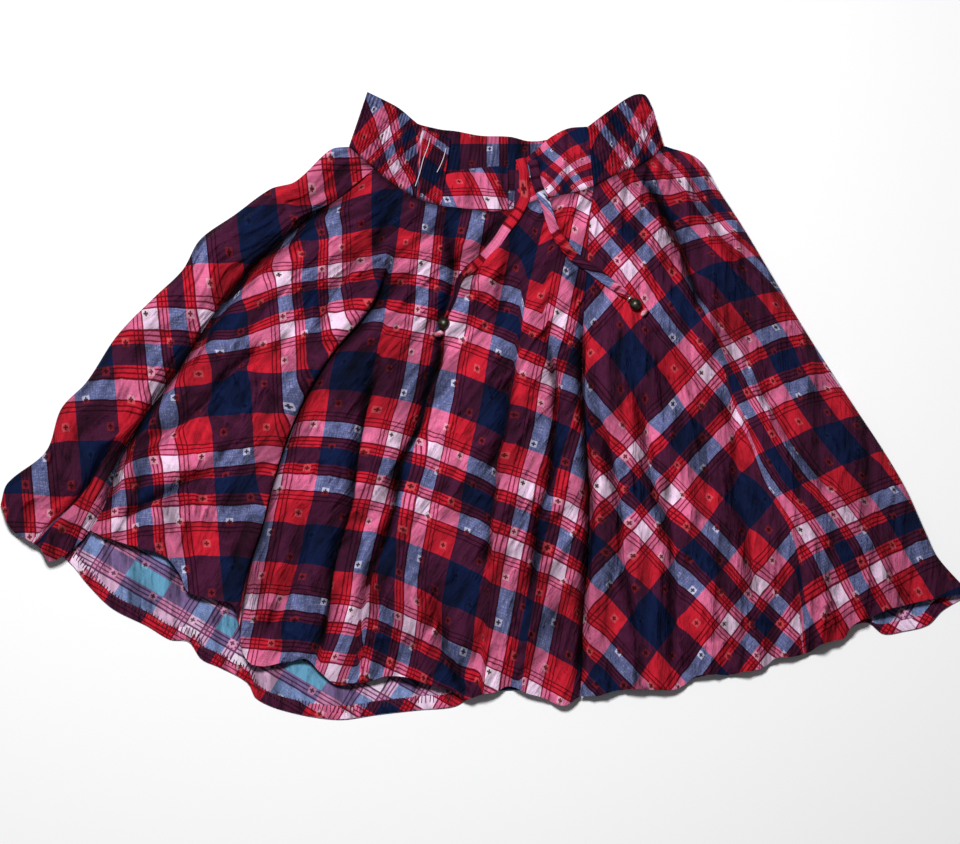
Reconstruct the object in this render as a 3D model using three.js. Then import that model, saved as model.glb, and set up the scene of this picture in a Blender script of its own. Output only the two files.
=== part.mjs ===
// A plaid skirt laid out on its back, front up: three front gores and a back
// panel sewn to a waistband that is shirred at the sides and plain in front,
// with two self-fabric ties that end in a metal bead and a knot.
// Millimetres, +Z up. X runs across the skirt, Y runs from the hem to the waist.
import * as THREE from 'three';

// ---------------------------------------------------------------- main sizes
const CLOTH = 1.2; // wall of the skirt and the plain band
const GAP = 0.3; // between two pieces at a seam
const BAND_BACK = 2.0; // doubled cloth of the back band
const SHIRRED = 1.7; // shirred band, inner face to the foot of its gathers
const GATHER_HEIGHT = 1.1; // crest of a gather above its foot
const GATHER_PITCH = 4.0; // from one gather to the next
const FRONT_CLEARANCE = 3.0; // lowest underside of the front, over the back hem
const SIDE_CLEARANCE = CLOTH + GAP; // underside of the front at the side edges
const SIDE_ROLL = 16; // width over which a side edge rolls down
const LOFT_WAIST = 3; // how far the front stands up at the waist
const LOFT_BODY = 13; // and between the folds
const LOFT_HEM = 6; // and along the hem
const WAIST_GATHER = { height: 1.5, pitch: 15, reach: 0.16 }; // reach: share of the length down
const HEM_TURN = 10.5; // width of the turned-up hem
const HEM_CLOTH = 1.0; // wall of the turned-up hem
const TIE_WIDTH = 9;
const TIE_THICK = 2.6;
const BEAD = 10.8; // diameter

// ------------------------------------------------------- outline, as it lies
// Seam between the waistband and the front gores, left to right. Each row is
// one point of the seam with the height of the cloth's underside there.
const WAIST = [
  { x: -119, y: 230, z: 1.5 },
  { x: -97, y: 209, z: 5 },
  { x: -83, y: 197, z: 6 },
  { x: -67, y: 187, z: 5 },
  { x: -60, y: 183, z: 3.4 },
  { x: -53, y: 180, z: 4.5 },
  { x: -38, y: 176, z: 4.5 },
  { x: -15, y: 173, z: 6 },
  { x: 7, y: 171, z: 5 },
  { x: 20, y: 173, z: 3.4 },
  { x: 38, y: 179, z: 4 },
  { x: 53, y: 183, z: 6 },
  { x: 74, y: 187, z: 6 },
  { x: 95, y: 193, z: 5 },
  { x: 117, y: 205, z: 6 },
  { x: 135, y: 212, z: 5 },
  { x: 148, y: 221, z: 3 },
  { x: 156, y: 231, z: 1.5 },
];
const LEFT_SEAM_ROW = 1; // rows of WAIST where the two long seams start
const RIGHT_SEAM_ROW = 13;

const LEFT_EDGE = [
  [-119, 230], [-135, 227], [-166, 198], [-188, 191], [-219, 168], [-249, 146], [-264, 119],
  [-289, 94], [-321, 60], [-347, 19], [-369, -5], [-382, -43], [-415, -71], [-421, -90],
];
const RIGHT_EDGE = [
  [156, 231], [187, 218], [204, 191], [226, 156], [252, 111], [283, 58], [322, -4], [345, -40],
  [365, -75], [382, -114], [393, -137], [421, -169],
];
const LEFT_SEAM = [
  [-97, 209], [-126, 184], [-156, 166], [-188, 137], [-214, 110], [-241, 75], [-258, 46],
  [-274, 17], [-291, -3], [-306, -28], [-318, -51], [-326, -76], [-333, -97], [-343, -114],
];
const RIGHT_SEAM = [
  [95, 193], [92, 168], [90, 147], [89, 120], [85, 58], [85, 4], [88, -40], [90, -93],
  [89, -138], [85, -184], [84, -231], [82, -260],
];
const HEM_LEFT = [
  [-421, -90], [-412, -112], [-397, -123], [-386, -130], [-378, -142], [-365, -137],
  [-351, -124], [-343, -114],
];
const HEM_FRONT = [
  [-343, -114], [-331, -120], [-317, -125], [-300, -130], [-278, -137], [-265, -153],
  [-257, -169], [-233, -176], [-220, -180], [-213, -198], [-210, -222], [-200, -234],
  [-178, -232], [-155, -228], [-143, -239], [-128, -250], [-103, -248], [-80, -243],
  [-47, -251], [-33, -255], [-16, -263], [-4, -260], [9, -257], [20, -251], [36, -258],
  [51, -262], [68, -269], [82, -260],
];
const HEM_RIGHT = [
  [82, -260], [99, -260], [116, -255], [139, -255], [162, -255], [171, -251], [182, -243],
  [209, -241], [226, -239], [239, -236], [252, -227], [265, -226], [278, -222], [296, -214],
  [311, -209], [318, -199], [336, -190], [365, -180], [393, -174], [421, -169],
];
const BACK_WAIST = [
  [-119, 230], [-95, 210], [-70, 195], [-40, 189], [0, 184], [40, 182], [75, 188], [100, 197],
  [125, 211], [145, 222], [156, 231],
];
const BACK_HEM = [
  [-421, -90], [-396, -114], [-371, -132], [-357, -145], [-347, -158], [-324, -181],
  [-293, -197], [-273, -209], [-257, -211], [-246, -226], [-231, -233], [-206, -247],
  [-198, -261], [-172, -272], [-128, -279.4], [-93, -275], [-58, -271], [-27, -268],
  [-12, -260], [13, -254], [65, -254], [100, -252], [170, -245], [222, -232], [278, -214],
  [311, -200], [331, -194], [345, -204], [362, -202], [384, -196], [397, -183], [421, -169],
];

// ------------------------------------------------------------ folds in front
// A fold is a valley between two puffed stretches of cloth. Its path is seen
// from above; depth is the share of the loft it takes away; left and right are
// its half widths on the two sides of the path, facing along it.
const FOLDS = [
  { name: 'under the left seam', depth: 0.96, left: 13, right: 7,
    path: [[-97, 204], [-126, 180], [-156, 163], [-214, 107], [-256, 45], [-289, -4],
      [-316, -50], [-326, -80], [-343, -117]] },
  { name: 'low in the left side gore', depth: 0.6, left: 6, right: 4,
    path: [[-320, -34], [-336, -58], [-350, -82], [-374, -106], [-388, -123]] },
  { name: 'beside the left seam', depth: 0.6, left: 8, right: 8,
    path: [[-141, 172], [-170, 138], [-204, 102], [-232, 67], [-251, 31]] },
  { name: 'left hip', depth: 0.8, left: 14, right: 8,
    path: [[-190, 52], [-220, 29], [-244, 0], [-267, -20], [-291, -36], [-308, -54], [-322, -72]] },
  { name: 'left hem corner', depth: 0.65, left: 9, right: 6,
    path: [[-240, -60], [-264, -73], [-291, -89], [-318, -106]] },
  { name: 'left yoke', depth: 0.6, left: 6, right: 7,
    path: [[-116, 218], [-142, 191], [-170, 172]] },
  { name: 'long left, top', depth: 0.75, left: 8, right: 5,
    path: [[-74, 186], [-87, 163], [-100, 133]] },
  { name: 'long left', depth: 0.97, left: 12, right: 6,
    path: [[-80, 150], [-87, 111], [-103, 81], [-134, 43], [-156, 7], [-171, -27], [-185, -71],
      [-194, -109], [-206, -147], [-214, -205]] },
  { name: 'short left', depth: 0.4, left: 6, right: 6,
    path: [[-108, 143], [-122, 111], [-140, 84], [-145, 58]] },
  { name: 'low left', depth: 0.55, left: 14, right: 10,
    path: [[-158, -89], [-161, -125], [-171, -163], [-194, -212]] },
  { name: 'middle left', depth: 0.88, left: 9, right: 6,
    path: [[-92, 42], [-105, -21], [-111, -58], [-114, -89], [-123, -120], [-131, -151],
      [-135, -185], [-146, -234]] },
  { name: 'middle', depth: 0.93, left: 10, right: 7,
    path: [[-34, 171], [-30, 143], [-26, 111], [-38, 68], [-39, 35], [-50, 9], [-57, -22],
      [-72, -52], [-77, -86], [-84, -116], [-100, -156], [-107, -200]] },
  { name: 'middle hem', depth: 0.75, left: 10, right: 9,
    path: [[-43, -165], [-36, -209], [-23, -245], [-15, -264]] },
  { name: 'under the left tie', depth: 0.9, left: 10, right: 9,
    path: [[23, 170], [7, 147], [-6, 127], [-17, 93]] },
  { name: 'centre front', depth: 0.55, left: 6, right: 6,
    path: [[29, 172], [24, 142], [14, 107], [10, 70]] },
  { name: 'under the right tie', depth: 0.7, left: 7, right: 7,
    path: [[55, 180], [68, 142], [78, 122], [83, 93]] },
  { name: 'right of middle', depth: 0.8, left: 8, right: 6,
    path: [[52, 72], [62, 13], [60, -36], [56, -75], [47, -101], [44, -143], [37, -190]] },
  { name: 'right seam', depth: 0.95, left: 10, right: 6,
    path: [[86, 90], [85, 58], [85, 4], [88, -40], [91, -85], [89, -138], [85, -184],
      [84, -231], [82, -264]] },
  { name: 'beside the right seam', depth: 0.6, left: 7, right: 6,
    path: [[93, 49], [99, -7], [106, -40], [114, -75], [117, -110], [119, -143], [128, -182],
      [135, -218]] },
  { name: 'right, long', depth: 0.65, left: 8, right: 6,
    path: [[130, 20], [140, -43], [145, -75], [160, -119], [163, -166], [162, -209], [159, -256]] },
  { name: 'right, middle', depth: 0.45, left: 7, right: 7,
    path: [[206, 20], [218, -52], [215, -87], [224, -108], [229, -147], [232, -191]] },
  { name: 'right, outer', depth: 0.4, left: 6, right: 6,
    path: [[231, 22], [250, -13], [265, -40], [287, -67], [300, -93]] },
  { name: 'right yoke', depth: 0.92, left: 9, right: 8,
    path: [[132, 208], [144, 194], [156, 171], [170, 141], [178, 116], [191, 80]] },
  { name: 'right yoke, outer', depth: 0.45, left: 7, right: 7,
    path: [[177, 209], [191, 169], [209, 142], [226, 112]] },
  { name: 'below the right bead', depth: 0.35, left: 8, right: 8,
    path: [[139, 74], [152, 31], [157, -13]] },
];

// Short waves that run up from the hem: foot on the hem, head inside the panel.
const HEM_WAVES = [
  { footX: -257, footY: -172, headX: -256, headY: -128, depth: 0.6 },
  { footX: -80, footY: -245, headX: -74, headY: -196, depth: 0.45 },
  { footX: 20, footY: -253, headX: 25, headY: -196, depth: 0.7 },
  { footX: 51, footY: -263, headX: 56, headY: -214, depth: 0.5 },
  { footX: 116, footY: -257, headX: 112, headY: -214, depth: 0.5 },
  { footX: 171, footY: -254, headX: 180, headY: -203, depth: 0.75 },
  { footX: 210, footY: -242, headX: 205, headY: -190, depth: 0.75 },
  { footX: 245, footY: -232, headX: 235, headY: -186, depth: 0.75 },
  { footX: 279, footY: -223, headX: 268, headY: -176, depth: 0.7 },
  { footX: 313, footY: -208, headX: 297, headY: -166, depth: 0.75 },
  { footX: 338, footY: -191, headX: 325, headY: -152, depth: 0.6 },
  { footX: 366, footY: -181, headX: 354, headY: -146, depth: 0.6 },
];
const HEM_WAVE_WIDTH = 7;

// ------------------------------------------------------------- the waistband
// One table for each piece, a row for each section across the band: its upper
// end, its lower end, and the height of the underside at the top, the middle
// and the bottom.
const BAND = {
  shirredLeft: [
    { topX: -103, topY: 279, lowX: -119, lowY: 230, topZ: 2.3, midZ: 2.3, lowZ: 2.3 },
    { topX: -79, topY: 266, lowX: -97, lowY: 209, topZ: 5, midZ: 9, lowZ: 5 },
    { topX: -71, topY: 260, lowX: -83, lowY: 197, topZ: 6, midZ: 10, lowZ: 6 },
    { topX: -64, topY: 254, lowX: -67, lowY: 187, topZ: 5, midZ: 7, lowZ: 5 },
    { topX: -56, topY: 248, lowX: -60, lowY: 183, topZ: 2.3, midZ: 2.3, lowZ: 3 },
    { topX: -50, topY: 244, lowX: -53, lowY: 180, topZ: 4.5, midZ: 6, lowZ: 4.5 },
    { topX: -30, topY: 236, lowX: -38, lowY: 176, topZ: 6, midZ: 6, lowZ: 4.5 },
  ],
  plainLeft: [
    { topX: -34, topY: 204, lowX: -38, lowY: 176, topZ: 5, midZ: 8, lowZ: 4.5 },
    { topX: -20, topY: 207, lowX: -15, lowY: 173, topZ: 8, midZ: 15, lowZ: 6 },
    { topX: 7, topY: 211, lowX: 7, lowY: 171, topZ: 6, midZ: 11, lowZ: 5 },
    { topX: 20, topY: 211, lowX: 20, lowY: 173, topZ: 4, midZ: 5, lowZ: 3.4 },
  ],
  plainRight: [
    { topX: 27, topY: 214, lowX: 25, lowY: 174.5, topZ: 3, midZ: 3, lowZ: 3.2 },
    { topX: 38, topY: 221, lowX: 38, lowY: 179, topZ: 3.5, midZ: 4, lowZ: 4 },
    { topX: 57, topY: 237, lowX: 53, lowY: 183, topZ: 6, midZ: 10, lowZ: 6 },
    { topX: 73, topY: 245, lowX: 74, lowY: 187, topZ: 7, midZ: 11, lowZ: 6 },
    { topX: 90, topY: 247, lowX: 95, lowY: 193, topZ: 5, midZ: 6, lowZ: 5 },
  ],
  shirredRight: [
    { topX: 90, topY: 247, lowX: 95, lowY: 193, topZ: 5, midZ: 6, lowZ: 5 },
    { topX: 107, topY: 260, lowX: 117, lowY: 205, topZ: 6, midZ: 9, lowZ: 6 },
    { topX: 129, topY: 275, lowX: 135, lowY: 212, topZ: 5, midZ: 7, lowZ: 5 },
    { topX: 140, topY: 276, lowX: 148, lowY: 221, topZ: 3.5, midZ: 4.5, lowZ: 3 },
    { topX: 146, topY: 266, lowX: 156, lowY: 231, topZ: 2.3, midZ: 2.3, lowZ: 2.3 },
  ],
};
const BAND_BACK_TOP = [
  [-103, 279], [-79, 266], [-64, 253], [-41, 246], [-25, 244], [-4, 240], [22, 239], [39, 235],
  [57, 237], [73, 244], [90, 247], [107, 260], [129, 275], [140, 276], [146, 266],
];

// --------------------------------------------------------------- small maths
const clamp01 = (value) => Math.min(1, Math.max(0, value));
const smooth = (value) => {
  const share = clamp01(value);
  return share * share * (3 - 2 * share);
};
const mix = (a, b, share) => a + (b - a) * share;
const mixPoint = (a, b, share) => a.map((value, axis) => mix(value, b[axis], share));

// Smooth curve through points of any dimension; t runs 0..1 by chord length.
function curveThrough(points) {
  const reach = [0];
  for (let i = 1; i < points.length; i += 1) {
    const [a, b] = [points[i - 1], points[i]];
    reach.push(reach[i - 1] + Math.hypot(b[0] - a[0], b[1] - a[1]));
  }
  const last = points.length - 1;
  const tangent = (i, axis) => {
    const [before, after] = [Math.max(0, i - 1), Math.min(last, i + 1)];
    return (points[after][axis] - points[before][axis]) / (reach[after] - reach[before]);
  };
  return (t) => {
    const at = clamp01(t) * reach[last];
    let i = 0;
    while (i < last - 1 && reach[i + 1] < at) i += 1;
    const step = reach[i + 1] - reach[i];
    const s = (at - reach[i]) / step;
    const [s2, s3] = [s * s, s * s * s];
    return points[i].map((value, axis) => (2 * s3 - 3 * s2 + 1) * value
      + (s3 - 2 * s2 + s) * step * tangent(i, axis)
      + (3 * s2 - 2 * s3) * points[i + 1][axis]
      + (s3 - s2) * step * tangent(i + 1, axis));
  };
}

// Surface between four curves: u across from left to right, v from top to low.
function coons(top, low, left, right) {
  const [topLeft, topRight, lowLeft, lowRight] = [top(0), top(1), low(0), low(1)];
  return (u, v) => [0, 1].map((axis) => mix(top(u)[axis], low(u)[axis], v)
    + mix(left(v)[axis], right(v)[axis], u)
    - mix(mix(topLeft[axis], topRight[axis], u), mix(lowLeft[axis], lowRight[axis], u), v));
}

// Distance from a point to a path; the sign is + on its left, facing along it.
function offPath(path, x, y) {
  let best = { off: Infinity, along: 0, side: 1 };
  for (let i = 0; i < path.length - 1; i += 1) {
    const [[ax, ay], [bx, by]] = [path[i], path[i + 1]];
    const [dx, dy] = [bx - ax, by - ay];
    const s = clamp01(((x - ax) * dx + (y - ay) * dy) / (dx * dx + dy * dy));
    const off = Math.hypot(x - ax - s * dx, y - ay - s * dy);
    if (off < best.off) {
      const side = Math.sign(dx * (y - ay) - dy * (x - ax)) || 1;
      best = { off, along: (i + s) / (path.length - 1), side };
    }
  }
  return best;
}

// ------------------------------------------------------ height of the front
const FOLD_CURVES = FOLDS.map((fold) => {
  const curve = curveThrough(fold.path);
  const steps = fold.path.length * 3;
  return { ...fold, path: Array.from({ length: steps + 1 }, (_, i) => curve(i / steps)) };
});

// What the folds leave of the loft at a place: 1 away from any fold, 0 in one.
function openness(x, y) {
  let open = 1;
  for (const fold of FOLD_CURVES) {
    const { off, along, side } = offPath(fold.path, x, y);
    const width = side > 0 ? fold.left : fold.right;
    const ends = smooth(along * 5 + 0.35) * smooth((1 - along) * 5 + 0.35);
    open *= 1 - fold.depth * ends * Math.exp(-((off / width) ** 2));
  }
  for (const wave of HEM_WAVES) {
    const { off, along } = offPath([[wave.footX, wave.footY], [wave.headX, wave.headY]], x, y);
    open *= 1 - wave.depth * (1 - smooth(along)) * Math.exp(-((off / HEM_WAVE_WIDTH) ** 2));
  }
  return open;
}

// Broad unevenness between the folds, as the crumpled cloth settles.
const swell = (x, y) => 1 + 0.18 * Math.sin(x / 31 + y / 90) + 0.14 * Math.sin(x / 17 - y / 55 + 1.3);

// Small gathers where the skirt is eased onto the band; t runs along the seam.
function gathers(t, length, v) {
  const { height, pitch, reach } = WAIST_GATHER;
  const wave = Math.sin((2 * Math.PI * t * length) / pitch);
  return height * wave * smooth(v / 0.05) * (1 - smooth(v / reach));
}

function loft(v) {
  const body = mix(LOFT_WAIST, LOFT_BODY, smooth(v / 0.12));
  return mix(body, LOFT_HEM, smooth((v - 0.82) / 0.18));
}

// ---------------------------------------------------------------- solids
// Closed wall from a grid of underside points; the outer face is the same grid
// moved up by the wall's thickness across its slope, plus what raise adds.
const STEEPEST = 0.45; // cosine of the slope past which a wall gets no higher
function wall(underside, thickness, raise = () => 0) {
  const rows = underside.length;
  const columns = underside[0].length;
  const at = (i, j) => new THREE.Vector3(
    ...underside[Math.min(rows - 1, Math.max(0, i))][Math.min(columns - 1, Math.max(0, j))],
  );
  const upright = (i, j) => {
    const across = at(i, j + 1).sub(at(i, j - 1));
    const down = at(i + 1, j).sub(at(i - 1, j));
    return Math.max(STEEPEST, Math.abs(across.cross(down).normalize().z));
  };
  const positions = [];
  underside.forEach((row) => row.forEach((p) => positions.push(...p)));
  underside.forEach((row, i) => row.forEach(([x, y, z], j) => {
    positions.push(x, y, z + thickness / upright(i, j) + raise(i, j));
  }));
  const outer = rows * columns;
  const index = [];
  const quad = (a, b, c, d) => index.push(a, b, c, a, c, d);
  for (let i = 0; i < rows - 1; i += 1) {
    for (let j = 0; j < columns - 1; j += 1) {
      const a = i * columns + j;
      const [b, c, d] = [a + columns, a + columns + 1, a + 1];
      quad(outer + a, outer + b, outer + c, outer + d);
      index.push(a, c, b, a, d, c);
    }
  }
  const rim = [];
  for (let j = 0; j < columns; j += 1) rim.push(j);
  for (let i = 1; i < rows; i += 1) rim.push(i * columns + columns - 1);
  for (let j = columns - 2; j >= 0; j -= 1) rim.push((rows - 1) * columns + j);
  for (let i = rows - 2; i > 0; i -= 1) rim.push(i * columns);
  rim.forEach((a, k) => {
    const b = rim[(k + 1) % rim.length];
    quad(a, outer + a, outer + b, b);
  });
  const geometry = new THREE.BufferGeometry();
  geometry.setAttribute('position', new THREE.Float32BufferAttribute(positions, 3));
  geometry.setIndex(index);
  geometry.computeVertexNormals();
  return geometry;
}

const grid = (rows, columns, point) => Array.from({ length: rows + 1 }, (_, i) => (
  Array.from({ length: columns + 1 }, (__, j) => point(j / columns, i / rows))));

// ------------------------------------------------------------------- gores
const waistPoints = (from, to) => WAIST.slice(from, to + 1).map(({ x, y, z }) => [x, y, z]);
const ROWS_DOWN = 15; // the same on every gore, so that seams match
const SEAM_INSET = GAP / 2;

function gore({ waist, hem, left, right, columns, leftIsSide, rightIsSide }) {
  const waistCurve = curveThrough(waist);
  const waistLength = Math.hypot(...[0, 1].map((axis) => waistCurve(1)[axis] - waistCurve(0)[axis]));
  const plan = coons(waistCurve, curveThrough(hem), curveThrough(left), curveThrough(right));
  const underside = grid(ROWS_DOWN, columns, (u, v) => {
    const width = Math.hypot(plan(1, v)[0] - plan(0, v)[0], plan(1, v)[1] - plan(0, v)[1]);
    const inset = SEAM_INSET / width;
    const across = mix(leftIsSide ? 0 : inset, rightIsSide ? 1 : 1 - inset, u);
    const [x, y] = plan(across, v);
    const fromLeft = leftIsSide ? u * width : Infinity;
    const fromRight = rightIsSide ? (1 - u) * width : Infinity;
    const fromSide = Math.min(fromLeft, fromRight);
    const roll = Math.sqrt(1 - (1 - clamp01(fromSide / SIDE_ROLL)) ** 2);
    const floor = mix(SIDE_CLEARANCE, FRONT_CLEARANCE, smooth(fromSide / SIDE_ROLL));
    const eased = gathers(across, waistLength, v) * roll;
    const free = floor + roll * loft(v) * swell(x, y) * openness(x, y) + Math.max(0, eased);
    const seamed = mix(waistCurve(across)[2], free, smooth(v / 0.06));
    return [x, y - (v === 0 ? GAP : 0), seamed];
  });
  return wall(underside, CLOTH);
}

// ------------------------------------------------------------------- names
const skirt = new THREE.Group();
function add(name, geometry, color, roughness = 0.85, metalness = 0) {
  const material = new THREE.MeshStandardMaterial({ color, roughness, metalness });
  const mesh = new THREE.Mesh(geometry, material);
  mesh.name = name;
  skirt.add(mesh);
  return mesh;
}

add('skirt_side_left', gore({
  waist: waistPoints(0, LEFT_SEAM_ROW), hem: HEM_LEFT, left: LEFT_EDGE, right: LEFT_SEAM,
  columns: 12, leftIsSide: true, rightIsSide: false,
}), 0x5a1e3a);
add('skirt_front', gore({
  waist: waistPoints(LEFT_SEAM_ROW, RIGHT_SEAM_ROW), hem: HEM_FRONT,
  left: LEFT_SEAM, right: RIGHT_SEAM,
  columns: 46, leftIsSide: false, rightIsSide: false,
}), 0xb02838);
add('skirt_side_right', gore({
  waist: waistPoints(RIGHT_SEAM_ROW, WAIST.length - 1), hem: HEM_RIGHT,
  left: RIGHT_SEAM, right: RIGHT_EDGE,
  columns: 32, leftIsSide: false, rightIsSide: true,
}), 0x7a2440);

// -------------------------------------------------------------- back panel
const backPlan = coons(...[BACK_WAIST, BACK_HEM, LEFT_EDGE, RIGHT_EDGE].map(curveThrough));
add('skirt_back', wall(grid(6, 48, (u, v) => {
  const [x, y] = backPlan(u, v);
  return [x, y - (v === 0 ? GAP : 0), 0];
}), CLOTH), 0x9c7a98);

const HEM_FROM = 0.02; // the turned-up hem stops short of the side folds
const HEM_TO = 0.98;
add('hem_back', wall(grid(1, 64, (share, end) => {
  const u = mix(HEM_FROM, HEM_TO, share);
  const [top, low] = [backPlan(u, 0), backPlan(u, 1)];
  const length = Math.hypot(low[0] - top[0], low[1] - top[1]);
  const [x, y] = backPlan(u, mix(1 - HEM_TURN / length, 1 - GAP / length, end));
  return [x, y, CLOTH + GAP];
}), HEM_CLOTH), 0xa02a40);

// --------------------------------------------------------------- waistband
function bandPiece(rows, columns, { thickness, shirred = false, insetLeft = true, insetRight = true }) {
  const top = curveThrough(rows.map((row) => [row.topX, row.topY, row.topZ]));
  const low = curveThrough(rows.map((row) => [row.lowX, row.lowY, row.lowZ]));
  const middle = curveThrough(rows.map((row) => [
    mix(row.topX, row.lowX, 0.5), mix(row.topY, row.lowY, 0.5), row.midZ,
  ]));
  const width = Math.hypot(low(1)[0] - low(0)[0], low(1)[1] - low(0)[1]);
  const inset = SEAM_INSET / width;
  const underside = grid(6, columns, (share, v) => {
    const u = mix(insetLeft ? inset : 0, insetRight ? 1 - inset : 1, share);
    const [x, y] = mixPoint(top(u), low(u), v);
    const [a, b, c] = [top(u)[2], middle(u)[2], low(u)[2]];
    const z = mix(mix(a, b, smooth(v * 2)), c, smooth(v * 2 - 1));
    return [x, y, Math.max(BAND_BACK + GAP, z)];
  });
  return wall(underside, thickness, (i, j) => (shirred && j % 2 ? GATHER_HEIGHT : 0));
}
const shirrColumns = (length) => 2 * Math.round(length / GATHER_PITCH);

add('band_shirred_left', bandPiece(BAND.shirredLeft, shirrColumns(104), {
  thickness: SHIRRED, shirred: true, insetLeft: false,
}), 0x8c2c4c);
add('band_plain_left', bandPiece(BAND.plainLeft, 12, { thickness: CLOTH }), 0xc04058);
add('band_plain_right', bandPiece(BAND.plainRight, 14, { thickness: CLOTH }), 0xb84860);
add('band_shirred_right', bandPiece(BAND.shirredRight, shirrColumns(80), {
  thickness: SHIRRED, shirred: true, insetRight: false,
}), 0x8c2c4c);

const bandBackTop = curveThrough(BAND_BACK_TOP);
const bandBackLow = curveThrough(BACK_WAIST);
add('band_back', wall(grid(2, 32, (u, v) => (
  [...mixPoint(bandBackTop(u), bandBackLow(u), v), 0])), BAND_BACK), 0x4a2444);

// -------------------------------------------------------------------- ties
// Both ties leave the band at the centre front and lie over the gores. Their
// routes are the middle of the flat tube, from the band to the bead.
const TIES = {
  left: [
    [31, 218, 6.1], [34, 206, 6.6], [34, 195, 6.6], [35, 185, 6.9], [31, 174, 8.3], [26, 165, 9.2],
    [20, 157, 10.6], [13, 146, 13], [6, 136, 14.8], [-2, 127, 14.2], [-12, 119, 11.6],
    [-20, 112, 11], [-24, 104, 11], [-26, 93, 12], [-30, 82, 12.6], [-33.3, 74.4, 13.3],
  ],
  right: [
    [42, 216, 9.8], [43.5, 206, 10.7], [45, 196, 10.6], [49, 186, 10.4], [53, 176, 12],
    [56, 166, 13.8], [59, 156, 14.2], [64, 146, 15], [70, 137, 15.8], [77, 129, 14.6],
    [86, 122, 15.3], [97, 114, 15.6], [108, 105, 16.8], [117, 97.6, 19.6], [124.8, 90.2, 22],
  ],
};
const TIE_STEPS = 26;
const TIE_SIDES = 10;
const BEADS = {
  left: { x: -36, y: 69, z: 13.8 },
  right: { x: 131, y: 84, z: 22.6 },
};
const KNOTS = { // the tied end of the cloth, past the bead; along, across and high
  left: { x: -39.9, y: 59.6, z: 14.6, turn: 1.93, size: [9.4, 8.6, 6.6] },
  right: { x: 138.9, y: 77.2, z: 21.2, turn: 2.44, size: [9.4, 8.6, 6.6] },
};
const SPACER = { x: 126, y: 89, z: 22.3, diameter: 6.4, width: 2.6 };

const tieSection = new THREE.Shape(Array.from({ length: TIE_SIDES }, (_, i) => {
  const angle = (2 * Math.PI * i) / TIE_SIDES;
  return new THREE.Vector2(Math.cos(angle) * TIE_THICK / 2, Math.sin(angle) * TIE_WIDTH / 2);
}));

for (const side of ['left', 'right']) {
  const route = new THREE.CatmullRomCurve3(TIES[side].map((point) => new THREE.Vector3(...point)));
  add(`tie_${side}`, new THREE.ExtrudeGeometry(tieSection, {
    steps: TIE_STEPS, extrudePath: route, bevelEnabled: false,
  }), side === 'left' ? 0xc83848 : 0x7a3450);

  const bead = add(`bead_${side}`, new THREE.SphereGeometry(BEAD / 2, 16, 10), 0x4a463c, 0.3, 0.9);
  bead.position.set(BEADS[side].x, BEADS[side].y, BEADS[side].z);

  const { x, y, z, turn, size } = KNOTS[side];
  const knot = add(`knot_${side}`, new THREE.SphereGeometry(0.5, 12, 8), 0xd06078);
  knot.scale.set(...size);
  knot.rotation.z = turn;
  knot.position.set(x, y, z);
}

const spacer = add('spacer_right', new THREE.CylinderGeometry(
  SPACER.diameter / 2, SPACER.diameter / 2, SPACER.width, 16,
), 0xb8b4a8, 0.3, 0.9);
spacer.position.set(SPACER.x, SPACER.y, SPACER.z);
spacer.rotation.z = Math.PI / 4;

export default skirt;
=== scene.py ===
"""A plaid skirt laid flat on its back, front up, with its real cloth looks.

Sizes in the tables are millimetres: X runs across the skirt, Y from the hem to
the waist, Z up from the surface that it lies on.
"""

import math
import random

import bpy
import numpy as np
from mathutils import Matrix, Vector


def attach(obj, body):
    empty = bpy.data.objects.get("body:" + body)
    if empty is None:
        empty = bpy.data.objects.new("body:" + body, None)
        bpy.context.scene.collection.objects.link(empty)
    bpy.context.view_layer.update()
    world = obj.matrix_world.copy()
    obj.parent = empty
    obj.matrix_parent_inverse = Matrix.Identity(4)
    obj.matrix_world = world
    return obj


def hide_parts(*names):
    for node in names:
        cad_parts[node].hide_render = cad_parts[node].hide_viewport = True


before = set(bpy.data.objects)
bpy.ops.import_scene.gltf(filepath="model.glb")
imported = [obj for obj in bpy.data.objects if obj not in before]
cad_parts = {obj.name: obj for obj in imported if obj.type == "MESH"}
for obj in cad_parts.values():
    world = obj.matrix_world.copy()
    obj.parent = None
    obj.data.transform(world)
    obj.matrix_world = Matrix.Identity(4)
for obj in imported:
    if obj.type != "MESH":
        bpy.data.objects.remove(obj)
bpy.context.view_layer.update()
for thing in bpy.context.selected_objects:
    thing.select_set(False)

MM = 0.001

# ------------------------------------------------------------------ camera
ELEVATION = 78  # degrees above the surface
DISTANCE = 9.0  # metres, from far enough that near and far parts look alike in size
AIM = Vector((-0.0044, -0.0177, 0.008))
FRAME_WIDTH = 0.8352  # metres that the picture takes in at the skirt


def place_camera(sensor=36):
    camera = bpy.data.cameras.new("camera")
    camera.sensor_width = sensor
    camera.lens = sensor * DISTANCE / FRAME_WIDTH
    camera.clip_end = 50
    holder = bpy.data.objects.new("camera", camera)
    tilt = math.radians(ELEVATION)
    holder.location = AIM + DISTANCE * Vector((0, -math.cos(tilt), math.sin(tilt)))
    holder.rotation_euler = (math.radians(90 - ELEVATION), 0, 0)
    bpy.context.scene.collection.objects.link(holder)
    bpy.context.scene.camera = holder


place_camera()


# -------------------------------------------------------------- small maths
def smooth(value):
    share = np.clip(value, 0, 1)
    return share * share * (3 - 2 * share)


def mix(a, b, share):
    return a + (b - a) * share


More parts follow.
